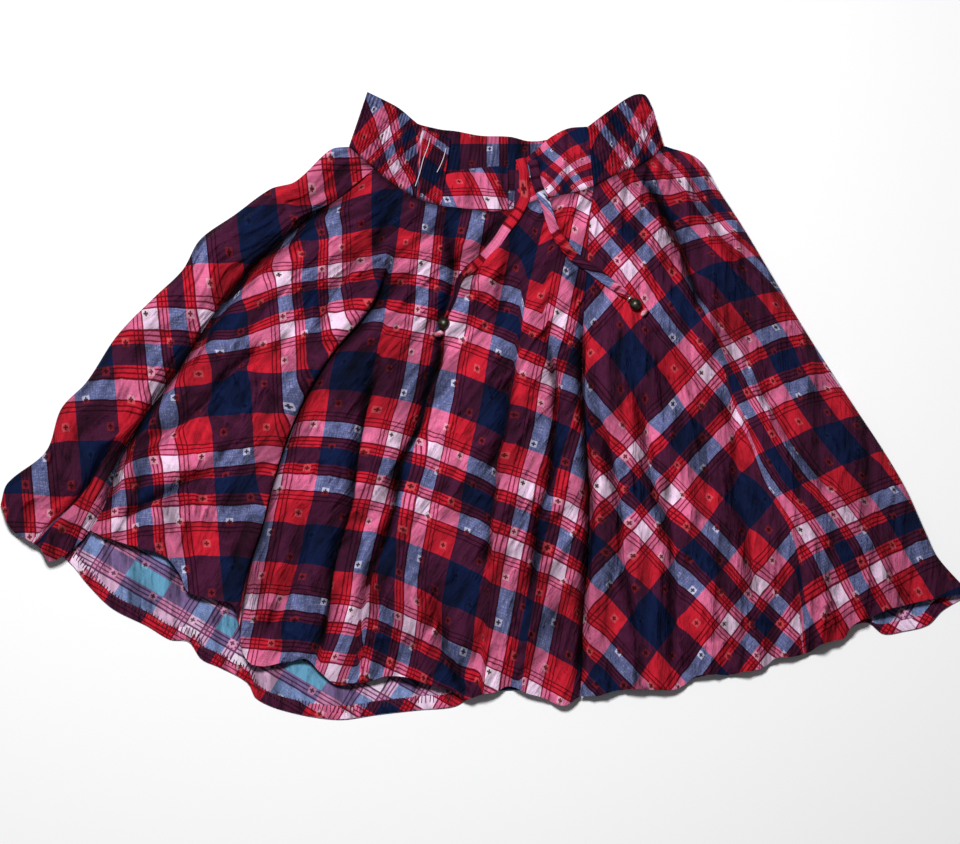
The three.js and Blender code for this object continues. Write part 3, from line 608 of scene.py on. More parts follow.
def cloth_mesh(name, face, under, maps, shade=None):
    """A closed sheet from a grid of face points and one of points under them.

    Rows run down and columns to the right. maps has (u, v) at each face point.
    """
    rows, columns = face.shape[:2]
    count = rows * columns
    top = np.arange(count).reshape(rows, columns)
    up = np.stack([top[:-1, :-1], top[1:, :-1], top[1:, 1:], top[:-1, 1:]], -1).reshape(-1, 4)
    ring = np.concatenate([top[0, :-1], top[:-1, -1], top[-1, :0:-1], top[:0:-1, 0]])
    after = np.roll(ring, -1)
    rim = np.stack([ring + count, ring, after, after + count], -1)
    low = np.roll(up[:, ::-1], 1, axis=1) + count  # split along the same diagonals as the face
    quads = np.concatenate([up, low, rim])
    # split alike on both faces, so that neither shows through the other in a sharp wrinkle
    facets = quads[:, [0, 1, 2, 0, 2, 3]].reshape(-1, 3)
    mesh = bpy.data.meshes.new(name)
    points = np.concatenate([face.reshape(-1, 3), under.reshape(-1, 3)]) * MM
    mesh.from_pydata(points.tolist(), [], facets.tolist())
    add_maps(mesh, maps, facets.reshape(-1) % count)
    # shade is painted shade at each point, 0 to 1, kept on both faces for the cloth's colour
    depth = mesh.attributes.new(name="painted_shade", type="FLOAT", domain="POINT")
    deep = np.zeros(count) if shade is None else shade.ravel()
    depth.data.foreach_set("value", np.concatenate([deep, deep]).astype(np.float32))
    inside = np.zeros(len(facets), dtype=np.int32)
    inside[2 * len(up):4 * len(up)] = 1
    mesh.polygons.foreach_set("material_index", inside)
    finish_smooth(mesh, 60)
    return mesh


def under_face(face):
    """The inner face of a thin sheet, straight under its outer one."""
    under = face.copy()
    under[..., 2] -= WALL / upright(face, 0.35)
    return under


def unit(vectors):
    return vectors / np.linalg.norm(vectors, axis=1)[:, None]


def ways(middle):
    """At each point of a line: the level way across it, and the way that is up from it."""
    ahead = unit(np.gradient(middle, axis=0))
    flat = unit(np.cross(ahead, (0, 0, 1)))
    return flat, np.cross(flat, ahead)


def tube_mesh(name, points):
    """A closed tube from its rings of points."""
    rings = np.arange(points.shape[0] * points.shape[1]).reshape(points.shape[:2])
    nxt = np.roll(rings, -1, axis=1)
    quads = np.stack([rings[:-1], nxt[:-1], nxt[1:], rings[1:]], -1).reshape(-1, 4)
    caps = [rings[0, ::-1].tolist(), rings[-1].tolist()]
    mesh = bpy.data.meshes.new(name)
    mesh.from_pydata((points.reshape(-1, 3) * MM).tolist(), [], quads.tolist() + caps)
    return mesh


# ------------------------------------------------------------------ materials
class Value:
    """A number in a shader tree that can be added and multiplied like any other."""

    def __init__(self, tree, socket):
        self.tree, self.socket = tree, socket

    def math(self, operation, *others, clamp=False):
        node = self.tree.nodes.new("ShaderNodeMath")
        node.operation, node.use_clamp = operation, clamp
        for entry, other in zip(node.inputs, (self, *others)):
            if isinstance(other, Value):
                self.tree.links.new(other.socket, entry)
            else:
                entry.default_value = other
        return Value(self.tree, node.outputs[0])

    def __add__(self, other):
        return self.math("ADD", other)

    def __mul__(self, other):
        return self.math("MULTIPLY", other)

    def __sub__(self, other):
        return self.math("SUBTRACT", other)

    def __rsub__(self, other):
        return (self * -1) + other

    def __truediv__(self, other):
        return self.math("DIVIDE", other)

    __radd__, __rmul__ = __add__, __mul__

    def between(self, low, high, soft=0.25):
        """1 from low to high and 0 outside, with soft ends."""
        inner = (high - low) / 2
        off = (self - (low + high) / 2).math("ABSOLUTE")
        return ((inner - off) / soft + 0.5).math("ADD", 0.0, clamp=True)

    def ramp(self, low, high):
        """0 at low, 1 at high, straight between them and level beyond."""
        return ((self - low) / (high - low)).math("ADD", 0.0, clamp=True)


class Look:
    """A material being built."""

    def __init__(self, name):
        self.material = bpy.data.materials.new(name)
        self.material.use_nodes = True
        self.tree = self.material.node_tree
        self.surface = self.tree.nodes["Principled BSDF"]

    def node(self, kind, settings=None, **entries):
        made = self.tree.nodes.new("ShaderNode" + kind)
        for key, value in (settings or {}).items():
            setattr(made, key, value)
        for key, value in entries.items():
            self.set(made.inputs[key.replace("_", " ")], value)
        return made

    def set(self, entry, value):
        if isinstance(value, Value):
            value = value.socket
        if isinstance(value, bpy.types.NodeSocket):
            self.tree.links.new(value, entry)
        else:
            entry.default_value = value

    def value(self, socket):
        return Value(self.tree, socket)

    def noise(self, vector, scale, detail=2.0, roughness=0.5):
        made = self.node("TexNoise", Vector=vector, Scale=scale, Detail=detail,
                         Roughness=roughness)
        return self.value(made.outputs["Factor" if "Factor" in made.outputs else "Fac"])

    def blend(self, share, a, b):
        made = self.node("Mix", {"data_type": "RGBA"})
        for entry, value in zip((made.inputs[0], made.inputs[6], made.inputs[7]), (share, a, b)):
            self.set(entry, value)
        return made.outputs[2]

    def scaled(self, vector, size):
        made = self.node("VectorMath", {"operation": "MULTIPLY"})
        self.set(made.inputs[0], vector)
        self.set(made.inputs[1], size)
        return made.outputs[0]

    def plus(self, a, b):
        made = self.node("VectorMath", {"operation": "ADD"})
        self.set(made.inputs[0], a)
        self.set(made.inputs[1], b)
        return made.outputs[0]

    def lit(self, **entries):
        for key, value in entries.items():
            self.set(self.surface.inputs[key.replace("_", " ")], value)

    def bump(self, height, distance, strength=1.0, under=None):
        made = self.node("Bump", Strength=strength, Distance=distance, Height=height)
        if under is not None:
            self.set(made.inputs["Normal"], under)
        return made.outputs["Normal"]


def paint(red, green, blue):
    """An everyday 0-255 colour as the renderer's linear one."""
    return tuple(((c / 255 + 0.055) / 1.055) ** 2.4 if c > 10 else c / 255 / 12.92
                 for c in (red, green, blue)) + (1.0,)


# The stripes from the middle of the wide navy one to the middle of the narrow
# one; the plaid mirrors there, and is the same across the cloth as down it.
REPEAT = 161.2
WIDE_NAVY, WHITE_FROM, WHITE_TO, NARROW_NAVY = 18.7, 48.7, 62.9, 72.9
LINES = [(40.2, 1.1), (43.8, 1.1), (48.0, 1.2), (63.6, 1.7), (67.3, 1.2), (70.8, 1.1)]
# A small woven square with a cross in it, in half drop: the first one is as far
# across as down, and the sizes are from the middle of the square to its edge.
MOTIF_EVERY, MOTIF_AT, MOTIF_SIZE = REPEAT / 4, 11.5, 3.2
CROSS_REACH, CROSS_ARM = 2.1, 0.8

CROSSINGS = ["navy navy", "red red", "white white", "navy red", "navy white", "red white"]


def dyes(*colours):
    """A colour for each kind of crossing."""
    return dict(zip(CROSSINGS, colours))


FACE = dyes(
    (12, 26, 64), (206, 32, 52), (255, 222, 250), (72, 24, 54), (98, 106, 156), (232, 112, 156))
FACE_LINES = dyes(
    (10, 10, 34), (104, 2, 20), (78, 14, 52), (44, 4, 22), (24, 18, 60), (120, 8, 34))
FACE_MOTIFS = dyes(
    (14, 34, 74), (214, 84, 92), (250, 230, 242), (124, 30, 40), (216, 214, 242), (238, 172, 192))
INSIDE = dyes(
    (104, 162, 196), (204, 134, 172), (236, 220, 236), (122, 100, 146), (116, 136, 186),
    (220, 176, 208))
INSIDE_LINES = dyes(
    (64, 80, 124), (100, 44, 86), (78, 50, 96), (60, 36, 70), (54, 48, 94), (94, 44, 90))
INSIDE_MOTIFS = dyes(
    (140, 190, 214), (232, 170, 200), (240, 226, 238), (190, 130, 160), (200, 206, 232),
    (238, 196, 216))


def plaid_cloth(name, colours, lines, motifs, crinkle=1.0):
    """The cloth: its plaid from the map called weave, its crinkles and their painted shade from the
    one called drape.
    """
    look = Look(name)
    weave = look.node("UVMap", {"uv_map": "weave"}).outputs["UV"]
    drape = look.node("UVMap", {"uv_map": "drape"}).outputs["UV"]
    axes = look.node("SeparateXYZ", Vector=weave)
    wander = look.noise(weave, 0.09, 3.0) - 0.5
    s = look.value(axes.outputs["X"]) + wander * 1.6
    t = look.value(axes.outputs["Y"]) + wander * 1.6

    def stripes(at):
        off = at.math("PINGPONG", REPEAT / 2)
        white = off.between(WHITE_FROM, WHITE_TO)
        navy = 1 - off.between(WIDE_NAVY, NARROW_NAVY)
        thin = None
        for middle, width in LINES:
            line = off.between(middle - width / 2, middle + width / 2, 0.5)
            thin = line if thin is None else thin.math("MAXIMUM", line)
        return {"navy": navy, "white": white, "red": 1 - navy - white}, thin

    across, line_across = stripes(s)
    down, line_down = stripes(t)
    shares = {}
    for pair in CROSSINGS:
        a, b = pair.split()
        share = across[a] * down[b]
        shares[pair] = share if a == b else share + across[b] * down[a]

    def at_crossings(palette):
        total = None
        for pair, share in shares.items():
            part = look.scaled(share.socket, paint(*palette[pair])[:3])
            total = part if total is None else look.plus(total, part)
        return total

    colour = at_crossings(colours)
    thread = look.noise(look.scaled(weave, (1.1, 0.1, 1.0)), 1.0, 2.0)
    pick = look.noise(look.scaled(weave, (0.1, 1.1, 1.0)), 1.0, 2.0)
    heather = (thread + pick - 1.0) * 1.1
    # a heathered crossing of white and a dark yarn shows both yarns
    speckle = look.noise(weave, 0.9, 3.0, 0.7) + heather * 0.5
    mottled = (shares["navy white"] + shares["red white"] * 0.5 + shares["navy red"] * 0.35)
    colour = look.blend(((speckle - 0.5) * 1.6 * mottled).math("ADD", 0.0, clamp=True),
                        colour, at_crossings(motifs))
    lined = line_across.math("MAXIMUM", line_down) * 0.92
    colour = look.blend(lined, colour, at_crossings(lines))

    def to_motif(at):
        near = (at - MOTIF_AT).math("PINGPONG", MOTIF_EVERY / 2)
        return near, MOTIF_EVERY / 2 - near

    s_near, s_far = to_motif(s)
    t_near, t_far = to_motif(t)
    first, second = s_near.math("MAXIMUM", t_near), s_far.math("MAXIMUM", t_far)
    off = first.math("MINIMUM", second)
    arm = s_near.math("MINIMUM", t_near).math("MINIMUM", s_far.math("MINIMUM", t_far))
    square = (MOTIF_SIZE - off).ramp(-0.3, 0.3)
    cross = (CROSS_REACH - off).ramp(-0.3, 0.3) * (CROSS_ARM - arm).ramp(-0.25, 0.25)
    colour = look.blend(square * 0.9, colour, at_crossings(motifs))
    colour = look.blend(cross * 0.95, colour, at_crossings(lines))
    # yarns differ a little in shade, and painted shade darkens the cloth in its folds and its many
    # soft crinkles
    folds = look.noise(look.scaled(drape, (1.0, 0.13, 1.0)), 0.07, 3.0, 0.55)
    crinkles = look.noise(look.scaled(drape, (1.0, 0.3, 1.0)), 0.16, 3.0, 0.6)
    shade = 1 + heather * 0.34 + (look.noise(drape, 0.05, 3.0) - 0.5) * 0.25
    # painted shade of the folds, seams and gathers, from the mesh's point attribute
    deep = look.value(look.node("Attribute", {"attribute_name": "painted_shade"}).outputs["Fac"])
    # painted shade in soft streaks and crinkles, which the bump below also presses in
    shaded_crinkles = folds.ramp(0.48, 0.64) * 0.55 + crinkles.ramp(0.50, 0.66) * 0.3
    shade = shade * (1 - deep * 0.93) * (1 - shaded_crinkles * crinkle) * 0.92
    dyed = look.node("VectorMath", {"operation": "SCALE"}, Scale=shade)
    look.set(dyed.inputs[0], colour)

    yarns = (look.value(axes.outputs["X"]) * 9.0).math("SINE") + (
        look.value(axes.outputs["Y"]) * 9.0).math("SINE")
    fine = look.bump(yarns + heather * 3.0, 0.00006, 0.5)
    ripples = look.noise(look.scaled(drape, (1.0, 0.16, 1.0)), 0.22, 4.0, 0.62)
    creases = 1 - (look.noise(look.scaled(drape, (1.0, 0.35, 1.0)), 0.10, 2.0) - 0.5).math(
        "ABSOLUTE") * 9.0
    creases = creases.math("MAXIMUM", 0.0)
    normal = look.bump(ripples * 0.6 + creases * 0.1 - shaded_crinkles * 0.9, 0.0034 * crinkle, 0.9, fine)
    look.lit(Base_Color=dyed.outputs[0], Roughness=0.8 - heather * 0.08, Normal=normal,
             Specular_IOR_Level=0.08)
    return look.material


def aged_metal(name, dark, light, roughness):
    look = Look(name)
    place = look.node("TexCoord").outputs["Object"]
    stain = look.noise(place, 380, 4.0, 0.6)
    rubbed = look.noise(place, 1500, 2.0)
    look.lit(
        Base_Color=look.blend(stain.ramp(0.35, 0.7), paint(*dark), paint(*light)),
        Metallic=0.92, Roughness=stain * 0.2 + rubbed * 0.1 + roughness,
        Normal=look.bump(stain + rubbed * 0.4, 0.0002, 0.5))
    return look.material


def pale_floor():
    look = Look("floor paper")
    place = look.node("TexCoord").outputs["Object"]
    grain = look.noise(place, 900, 3.0)
    look.lit(Base_Color=look.blend(grain, paint(240, 240, 241), paint(246, 246, 247)),
             Roughness=0.85 + grain * 0.05, Normal=look.bump(grain, 0.0002, 0.15))
    return look.material


CLOTH_FACE = plaid_cloth("plaid cloth, face", FACE, FACE_LINES, FACE_MOTIFS)
CLOTH_INSIDE = plaid_cloth("plaid cloth, inside", INSIDE, INSIDE_LINES, INSIDE_MOTIFS)
CLOTH_SHIRRED = plaid_cloth("plaid cloth, shirred", FACE, FACE_LINES, FACE_MOTIFS, crinkle=0.6)
BEAD_METAL = aged_metal("aged gunmetal", (46, 46, 40), (96, 92, 78), 0.26)
SPACER_METAL = aged_metal("worn silver", (150, 148, 142), (214, 212, 206), 0.2)


# ---------------------------------------------------------------------- ties
TIE_TURNS = {  # degrees that the flat tube is turned about its own line, along it
    "left": lambda t: 62 * smooth((t - 0.62) / 0.16),
    "right": lambda t: 10 * np.sin(t * 9) + 14 * smooth((t - 0.8) / 0.2),
}
TIE_PLAID = {  # s and t at the band, and how fast each changes along the tie
    "left": (30, 20, 0.03, 0.42), "right": (0, 38, 0.40, 0.36),
}
TIE_SEEDS = {"left": 5, "right": 6}
TIE_TIP = 9  # how far before its end a tie begins to narrow


def tie(side, steps=150, around=20):
    """A flat turned tube along its route, a little wrung and creased; free at its knot."""
    t = np.linspace(0, 1, steps + 1)
    middle = Line(TIES[side])(t)
    flat, rise = ways(middle)
    turn = np.radians(TIE_TURNS[side](t))[:, None]
    wide = np.cos(turn) * flat + np.sin(turn) * rise
    thin = np.cos(turn) * rise - np.sin(turn) * flat
    crumple = Unevenness(TIE_SEEDS[side])
    angle = 2 * math.pi * np.arange(around) / around
    across, high = np.sin(angle), np.cos(angle)
    blunt = np.sign(across) * np.abs(across) ** 0.8
    length = np.linalg.norm(np.diff(middle, axis=0), axis=1).sum()
    along = t * length
    narrowing = 1 - 0.45 * smooth((along - length + TIE_TIP) / TIE_TIP)
    uneven = crumple(along[:, None] / 7, across[None, :] * 1.7 + 9)
    half_width = TIE_WIDTH / 2 * narrowing * (1 + 0.06 * crumple(along / 16, 3))
    half_thick = TIE_THICK / 2 * (1 + 0.16 * uneven)
    points = (middle[:, None, :]
              + wide[:, None, :] * (half_width[:, None] * blunt[None, :])[..., None]
              + thin[:, None, :] * (half_thick * high[None, :])[..., None])
    mesh = tube_mesh("tie_" + side, points)
    corners = np.zeros(len(mesh.loops), dtype=np.int32)
    mesh.loops.foreach_get("vertex_index", corners)
    start_s, start_t, twist, pace = TIE_PLAID[side]
    s, down = np.broadcast_arrays(
        start_s + across[None, :] * TIE_WIDTH / 2 + twist * along[:, None],
        start_t + pace * along[:, None])
    add_maps(mesh, {"weave": np.stack([s, down], -1), "drape": np.stack([s * 2, down], -1)},
             corners)
    finish_smooth(mesh, 60)
    made = piece("tie_cloth_" + side, mesh, "tie_" + side, [CLOTH_FACE])
    return made, middle * MM, length * MM


ties = {side: tie(side) for side in TIES}


# --------------------------------------------------------------------- gores
# Sharp wrinkles: how far across and down each kind is spaced, and its height.
CREASES = [(11, 60, 3.0), (15, 26, 2.4), (8, 34, -2.6), (20, 15, 2.0)]


def gore(name, replaced, waist, hem, left, right, columns, rows, seed, stretches, borders,
         left_is_side=False, right_is_side=False):
    """One gore of the front: u runs across it and v down it, from the waist to the hem."""
    waist_line = Line(waist)
    ends = waist_line(np.array([0.0, 1.0]))
    waist_length = np.hypot(*(ends[1] - ends[0])[:2])
    plan = Patch(waist, hem, left, right)
    u, v = np.meshgrid(np.linspace(0, 1, columns + 1), np.linspace(0, 1, rows + 1))
    sides = plan(np.array([0.0, 1.0]), v[:, :1])
    width = np.hypot(*(sides[:, 1] - sides[:, 0]).T)[:, None]
    inset = GAP / 2 / width
    across = mix(0 if left_is_side else inset, 1 if right_is_side else 1 - inset, u)
    place = plan(across, v)
    x, y = place[..., 0], place[..., 1]
    from_side = np.full(x.shape, np.inf)
    if left_is_side:
        from_side = np.minimum(from_side, u * width)
    if right_is_side:
        from_side = np.minimum(from_side, (1 - u) * width)
    roll = np.sqrt(1 - (1 - np.clip(from_side / SIDE_ROLL, 0, 1)) ** 2)
    floor = mix(SIDE_CLEARANCE, FRONT_CLEARANCE, smooth(from_side / SIDE_ROLL))
    open_share, crease = valley(x, y)
    eased = waist_gathers(across, waist_length, v) * roll
    free = floor + roll * loft(v) * swell(x, y) * open_share + np.maximum(0, eased)
    under = np.stack([x, y - np.where(v == 0, GAP, 0),
                      mix(waist_line(across)[..., 2], free, smooth(v / 0.06))], -1)

    a = across * width
    d = np.concatenate([np.zeros((1, columns + 1)), np.cumsum(
        np.linalg.norm(np.diff(place, axis=0), axis=-1), axis=0)])
    quiet = (1 - 0.75 * near_tie(x, y)) * roll * smooth(v / 0.03)
    broad, fine = Unevenness(seed), Unevenness(seed + 1)
    wrinkles = 2.2 * broad(a / 12, d / 55) + 1.0 * fine(a / 5.5, d / 24)
    for step, (across_mm, down_mm, height) in enumerate(CREASES):
        lean = 9 * Unevenness(seed + 7 + step)(a / 60, d / 40)
        edge = np.abs(Unevenness(seed + 3 + step)((a + lean) / across_mm, d / down_mm))
        where = smooth(0.5 + 1.6 * Unevenness(seed + 5 + step)(a / 35 + 7, d / 45))
        wrinkles += height * where * np.clip(1 - edge * 3.2, 0, 1) ** 1.3
    face = under.copy()
    face[..., 2] += CLOTH / upright(under) + (wrinkles - 2.6 * crease * roll) * quiet
    inner = under_face(face)
    leaning = np.stack(lean_over(x, y), -1) * (roll * smooth(v / 0.1))[..., None]
    lowest = np.minimum(under[..., 2], OVER_BACK)
    for sheet, height in ((face, lowest + THINNEST), (inner, lowest)):
        sheet[..., :2] += leaning
        sheet[..., 2] = np.maximum(sheet[..., 2], height)
    weave = lay_across(stretches, borders, x, y, v)
    drape = np.stack([a, d], -1)
    # painted shade: a dark line along the waist seam, the gathers under the waist, and the dips
    # between wrinkles
    gathers = Unevenness(seed + 11)(a / 5, d / 70) * 1.3
    dips = 1 - np.clip((wrinkles + 1.2) / 2.4, 0, 1)
    waist_and_dip_shade = np.maximum(0.75 * np.exp(-((v / 0.012) ** 2)),
                        np.clip(gathers, 0, 1) * 0.75 * np.exp(-((v / 0.13) ** 2)))
    waist_and_dip_shade = np.maximum(waist_and_dip_shade, 0.42 * dips * quiet)
    mesh = cloth_mesh(name, face, inner, {"weave": weave, "drape": drape},
                      shade=np.maximum(painted_shade(x, y) * (1 - near_tie(x, y) * 0.5), waist_and_dip_shade))
    return piece(name, mesh, replaced, [CLOTH_FACE, CLOTH_INSIDE])


LONG_LEFT = [(-78, 200), *fold_path("long left"), (-216, -240)]
MIDDLE_LEFT = [(-74, 200), (-80, 120), *fold_path("middle left"), (-149, -255)]
MIDDLE = [(-34, 190), *fold_path("middle"), (-108, -222), (-110, -260)]
MIDDLE_RIGHT = [(30, 190), (34, 110), *fold_path("middle right"), (0, -200), (-4, -265)]
RIGHT_OF_MIDDLE = [(60, 190), (56, 130), *fold_path("right of middle"), (34, -225), (30, -265)]
LOW_LEFT = [(-290, -16), *fold_path("low in the left side gore"), (-400, -140)]
RIGHT_TURN = [
    (128, 225), *fold_path("right yoke"), (204, 53), (211, 18), (224, -18), (232, -40),
    (241, -73), (253, -91), (267, -120), (274, -174), (278, -235)]

front = gore(
    "front_gore", "skirt_front", WAIST[LEFT_SEAM_ROW:RIGHT_SEAM_ROW + 1], HEM_FRONT, LEFT_SEAM,
    RIGHT_SEAM, 240, 190, 11, ["first", "second", "third", "fourth", "fifth", "sixth"],
    [LONG_LEFT, MIDDLE_LEFT, MIDDLE, MIDDLE_RIGHT, RIGHT_OF_MIDDLE])
left_gore = gore(
    "left_side_gore", "skirt_side_left", WAIST[:LEFT_SEAM_ROW + 1], HEM_LEFT, LEFT_EDGE,
    LEFT_SEAM, 90, 160, 21, ["left lobe", "left side"], [LOW_LEFT], left_is_side=True)
right_gore = gore(
    "right_side_gore", "skirt_side_right", WAIST[RIGHT_SEAM_ROW:], HEM_RIGHT, RIGHT_SEAM,
    RIGHT_EDGE, 180, 160, 31, ["right inner", "right outer"], [RIGHT_TURN], right_is_side=True)


# ------------------------------------------------------------ back panel, hem
back_plan = Patch(BACK_WAIST, BACK_HEM, LEFT_EDGE, RIGHT_EDGE)


def back_lay(x, y):
    """The back is cut like the front; its inside shows below the front's hem."""
    lean = math.radians(-31)
    east, north = x + 292, y + 155  # from where a wide navy stripe crosses a narrow one
    s = east * math.cos(lean) + north * math.sin(lean)
    t = REPEAT / 2 + east * math.sin(lean) - north * math.cos(lean)
    return np.stack([s, t], -1)


def back_panel(columns=200, rows=120):
    u, v = np.meshgrid(np.linspace(0, 1, columns + 1), np.linspace(0, 1, rows + 1))
    place = back_plan(u, v)
    x, y = place[..., 0], place[..., 1] - np.where(v == 0, GAP, 0)
    ripple = Unevenness(41)(x / 16, y / 40)
    face = np.stack([x, y, 1.02 + 0.16 * ripple], -1)
    under = np.stack([x, y, np.full(x.shape, BACK_UNDER)], -1)
    mesh = cloth_mesh("back_panel", face, under,
                      {"weave": back_lay(x, y), "drape": np.stack([x, -y], -1)})
    return piece("back_panel", mesh, "skirt_back", [CLOTH_INSIDE, CLOTH_FACE])


def back_hem(columns=420, rows=8):
    share, end = np.meshgrid(np.linspace(0, 1, columns + 1), np.linspace(0, 1, rows + 1))
    u = mix(0.02, 0.98, share)
    top, low = back_plan(u, 0.0), back_plan(u, 1.0)
    length = np.hypot(*np.moveaxis(low - top, -1, 0))
    place = back_plan(u, mix(1 - HEM_TURN / length, 1 - GAP / length, end))
    x, y = place[..., 0], place[..., 1]
    along = np.concatenate([[0], np.cumsum(np.hypot(*np.diff(place[-1], axis=0).T))])[None, :]
    pucker = Unevenness(43)(along / 7, end * 1.5) * 0.16
    roll = 1 - 0.75 * (np.abs(end - 0.5) * 2) ** 5
    face = np.stack([x, y, 1.55 + (0.75 + pucker) * roll], -1)
    under = np.stack([x, y, np.full(x.shape, 1.4)], -1)
    weave = back_lay(x, y - 7)  # so the stripes of the turned-up edge miss the panel's
    drape = np.stack(np.broadcast_arrays(along * 1.4, end * HEM_TURN), -1)
    mesh = cloth_mesh("back_hem", face, under, {"weave": weave, "drape": drape})
    return piece("back_hem", mesh, "hem_back", [CLOTH_FACE, CLOTH_INSIDE])


back = back_panel()
hem = back_hem()


# --------------------------------------------------------------- waistband
BAND_FOLD = [(-55, 262), (-57, 215), (-60, 170)]  # the deep fold across the left shirred band
BAND_STRETCHES = {
    "shirred left": (["shirred left, outer", "shirred left, inner"], [BAND_FOLD]),
    "plain left": (["plain left"], []), "plain right": (["plain right"], []),
    "shirred right": (["shirred right"], []),
}
STITCH_ROWS = 7
GATHER_EVERY = 3.1


def band(name, columns, rows, seed, inset_left=True, inset_right=True):
    """One stretch of the waistband; an inset leaves a gap to the stretch beside it."""
    shirred = name.startswith("shirred")
    table = np.array(BAND[name], dtype=float)
    upper, lower = Line(table[:, [0, 1, 4]]), Line(table[:, [2, 3, 6]])
    centre = Line(np.column_stack([(table[:, 0] + table[:, 2]) / 2,
                                   (table[:, 1] + table[:, 3]) / 2, table[:, 5]]))
    ends = lower(np.array([0.0, 1.0]))
    inset = GAP / 2 / np.hypot(*(ends[1] - ends[0])[:2])
    share, v = np.meshgrid(np.linspace(0, 1, columns + 1), np.linspace(0, 1, rows + 1))
    u = mix(inset if inset_left else 0, 1 - inset if inset_right else 1, share)
    a, b, c = upper(u), centre(u), lower(u)
    x, y = np.moveaxis(mix(a, c, v[..., None])[..., :2], -1, 0)
    z = mix(mix(a[..., 2], b[..., 2], smooth(v * 2)), c[..., 2], smooth(v * 2 - 1))
    under = np.stack([x, y, np.maximum(BAND_BACK_TOP_FACE + GAP, z)], -1)
    run = centre.length * u
    height = np.hypot(a[..., 0] - c[..., 0], a[..., 1] - c[..., 1])
    down = v * height
    bumps = Unevenness(seed)
    face = under.copy()
    if shirred:
        warp = 1.1 * bumps(run / 17, down / 22) + 0.5 * bumps(run / 7 + 30, down / 9)
        gather = 0.5 + 0.5 * np.sin(2 * np.pi * (run + warp) / GATHER_EVERY)
        strength = 0.75 + 0.35 * bumps(run / 9 + 5, down / 8)
        row = np.abs(np.sin(np.pi * v * STITCH_ROWS)) ** 0.6
        raise_by = 1.1 + 2.0 * gather * strength * (0.25 + 0.75 * row) + 0.35 * row
        # painted shade in the troughs of the gathers and along the pinched stitch rows
        shade = (1 - gather) ** 1.5 * 0.85 * np.clip(strength, 0, 1) + (1 - row) * 0.35
    else:
        raise_by = (CLOTH / upright(under) + 0.5 * bumps(run / 7, down / 18)
                    + 0.8 * bumps(run / 16 + 40, down / 12) * np.sin(np.pi * v))
        # painted shade in the dips of the plain band
        shade = 0.4 * np.clip(-bumps(run / 16 + 40, down / 12), 0, 1) * np.sin(np.pi * v)
    # painted shadow along the band's lower edge, where it meets the skirt
    shade = np.clip(shade + 0.5 * smooth((v - 0.93) / 0.07), 0, 0.95)
    face[..., 2] += raise_by
    weave = lay_across(*BAND_STRETCHES[name], x, y, 1.0, reach=13)
    label = name.replace(" ", "_")
    mesh = cloth_mesh(label + "_band", face, under_face(face),
                      {"weave": weave, "drape": np.stack([run, down], -1)}, shade=shade)
    slot, cloth = ("shirred_cloth", CLOTH_SHIRRED) if shirred else ("plaid_cloth", CLOTH_FACE)
    return piece(label + "_band", mesh, "band_" + label, [cloth, CLOTH_FACE])


bands = [
    band("shirred left", 272, 42, 51, inset_left=False),
    band("plain left", 90, 44, 52),
    band("plain right", 90, 44, 53),
    band("shirred right", 216, 42, 54, inset_right=False),
]
BAND_ACROSS = 290  # how long the back band is


def back_band(columns=160, rows=24):
    u, v = np.meshgrid(np.linspace(0, 1, columns + 1), np.linspace(0, 1, rows + 1))
    top, low = Line(BAND_BACK_TOP)(u), Line(BACK_WAIST)(u)
    place = mix(top, low, v[..., None])
    x, y = place[..., 0], place[..., 1]
    gathers = np.sin(2 * np.pi * (u * BAND_ACROSS + Unevenness(61)(x / 8, y / 30)) / 4.2)
    face = np.stack([x, y, 1.7 + 0.22 * gathers], -1)
    under = np.stack([x, y, np.full(x.shape, BACK_UNDER)], -1)
    weave = np.stack([55.8 + (x - 7) * 1.3, (y - 221) * 1.6], -1)
    # painted shade: the back band darker all over, most in the troughs of its gathers
    mesh = cloth_mesh("back_band", face, under,
                      {"weave": weave, "drape": np.stack([u * BAND_ACROSS, -y], -1)},
                      shade=np.clip(0.4 - 0.3 * gathers, 0, 0.8))
    return piece("back_band", mesh, "band_back", [CLOTH_FACE, CLOTH_FACE])


band_behind = back_band()


# --------------------------------------------------- beads, knots and spacer
def settle(name, replaced, material):
    """Names and finishes the object just made by hand, with its place put in its mesh."""
    made = bpy.context.object
    made.name = made.data.name = name
    bpy.ops.object.transform_apply(location=True, rotation=True, scale=True)
    finish_smooth(made.data, 50)
    made.data.materials.append(material)
    made.select_set(False)
    return declare(made, replaced)


def shape(wanted, inset, scale):
    """Insets the faces of the shape just added whose middles are wanted, and draws them in or out."""
    made = bpy.context.object
    bpy.ops.object.mode_set(mode="EDIT")
    bpy.ops.mesh.select_mode(type="FACE")
    bpy.ops.mesh.select_all(action="DESELECT")
    bpy.ops.object.mode_set(mode="OBJECT")
    for face in made.data.polygons:
        face.select = wanted(*(face.center / MM))
    bpy.ops.object.mode_set(mode="EDIT")
    bpy.ops.mesh.inset(thickness=inset * MM)
    bpy.ops.transform.resize(value=scale, center_override=(0, 0, 0))
    bpy.ops.object.mode_set(mode="OBJECT")


def lay_at(place, heading):
    """Lays the upright shape just made on its side at a place, with its top towards a heading."""
    made = bpy.context.object
    made.location = [c * MM for c in place]
    made.rotation_euler = (math.radians(90), 0, heading + math.radians(90))


BORE_FROM = 0.93  # how far from its middle a bead's bore begins, as a share of its radius


def bead(side):
    """A round bead with a bore, its rim rolled in, where the tie goes through."""
    x, y, z = BEADS[side]
    dx, dy = KNOTS[side][0] - x, KNOTS[side][1] - y
    bpy.ops.mesh.primitive_uv_sphere_add(segments=40, ring_count=24, radius=BEAD / 2 * MM)
    shape(lambda _x, _y, up: abs(up) > BORE_FROM * BEAD / 2, 0.25, (0.95, 0.95, 0.8))
    lay_at((x, y, z), math.atan2(dy, dx))
    return settle("aged_bead_" + side, "bead_" + side, BEAD_METAL)


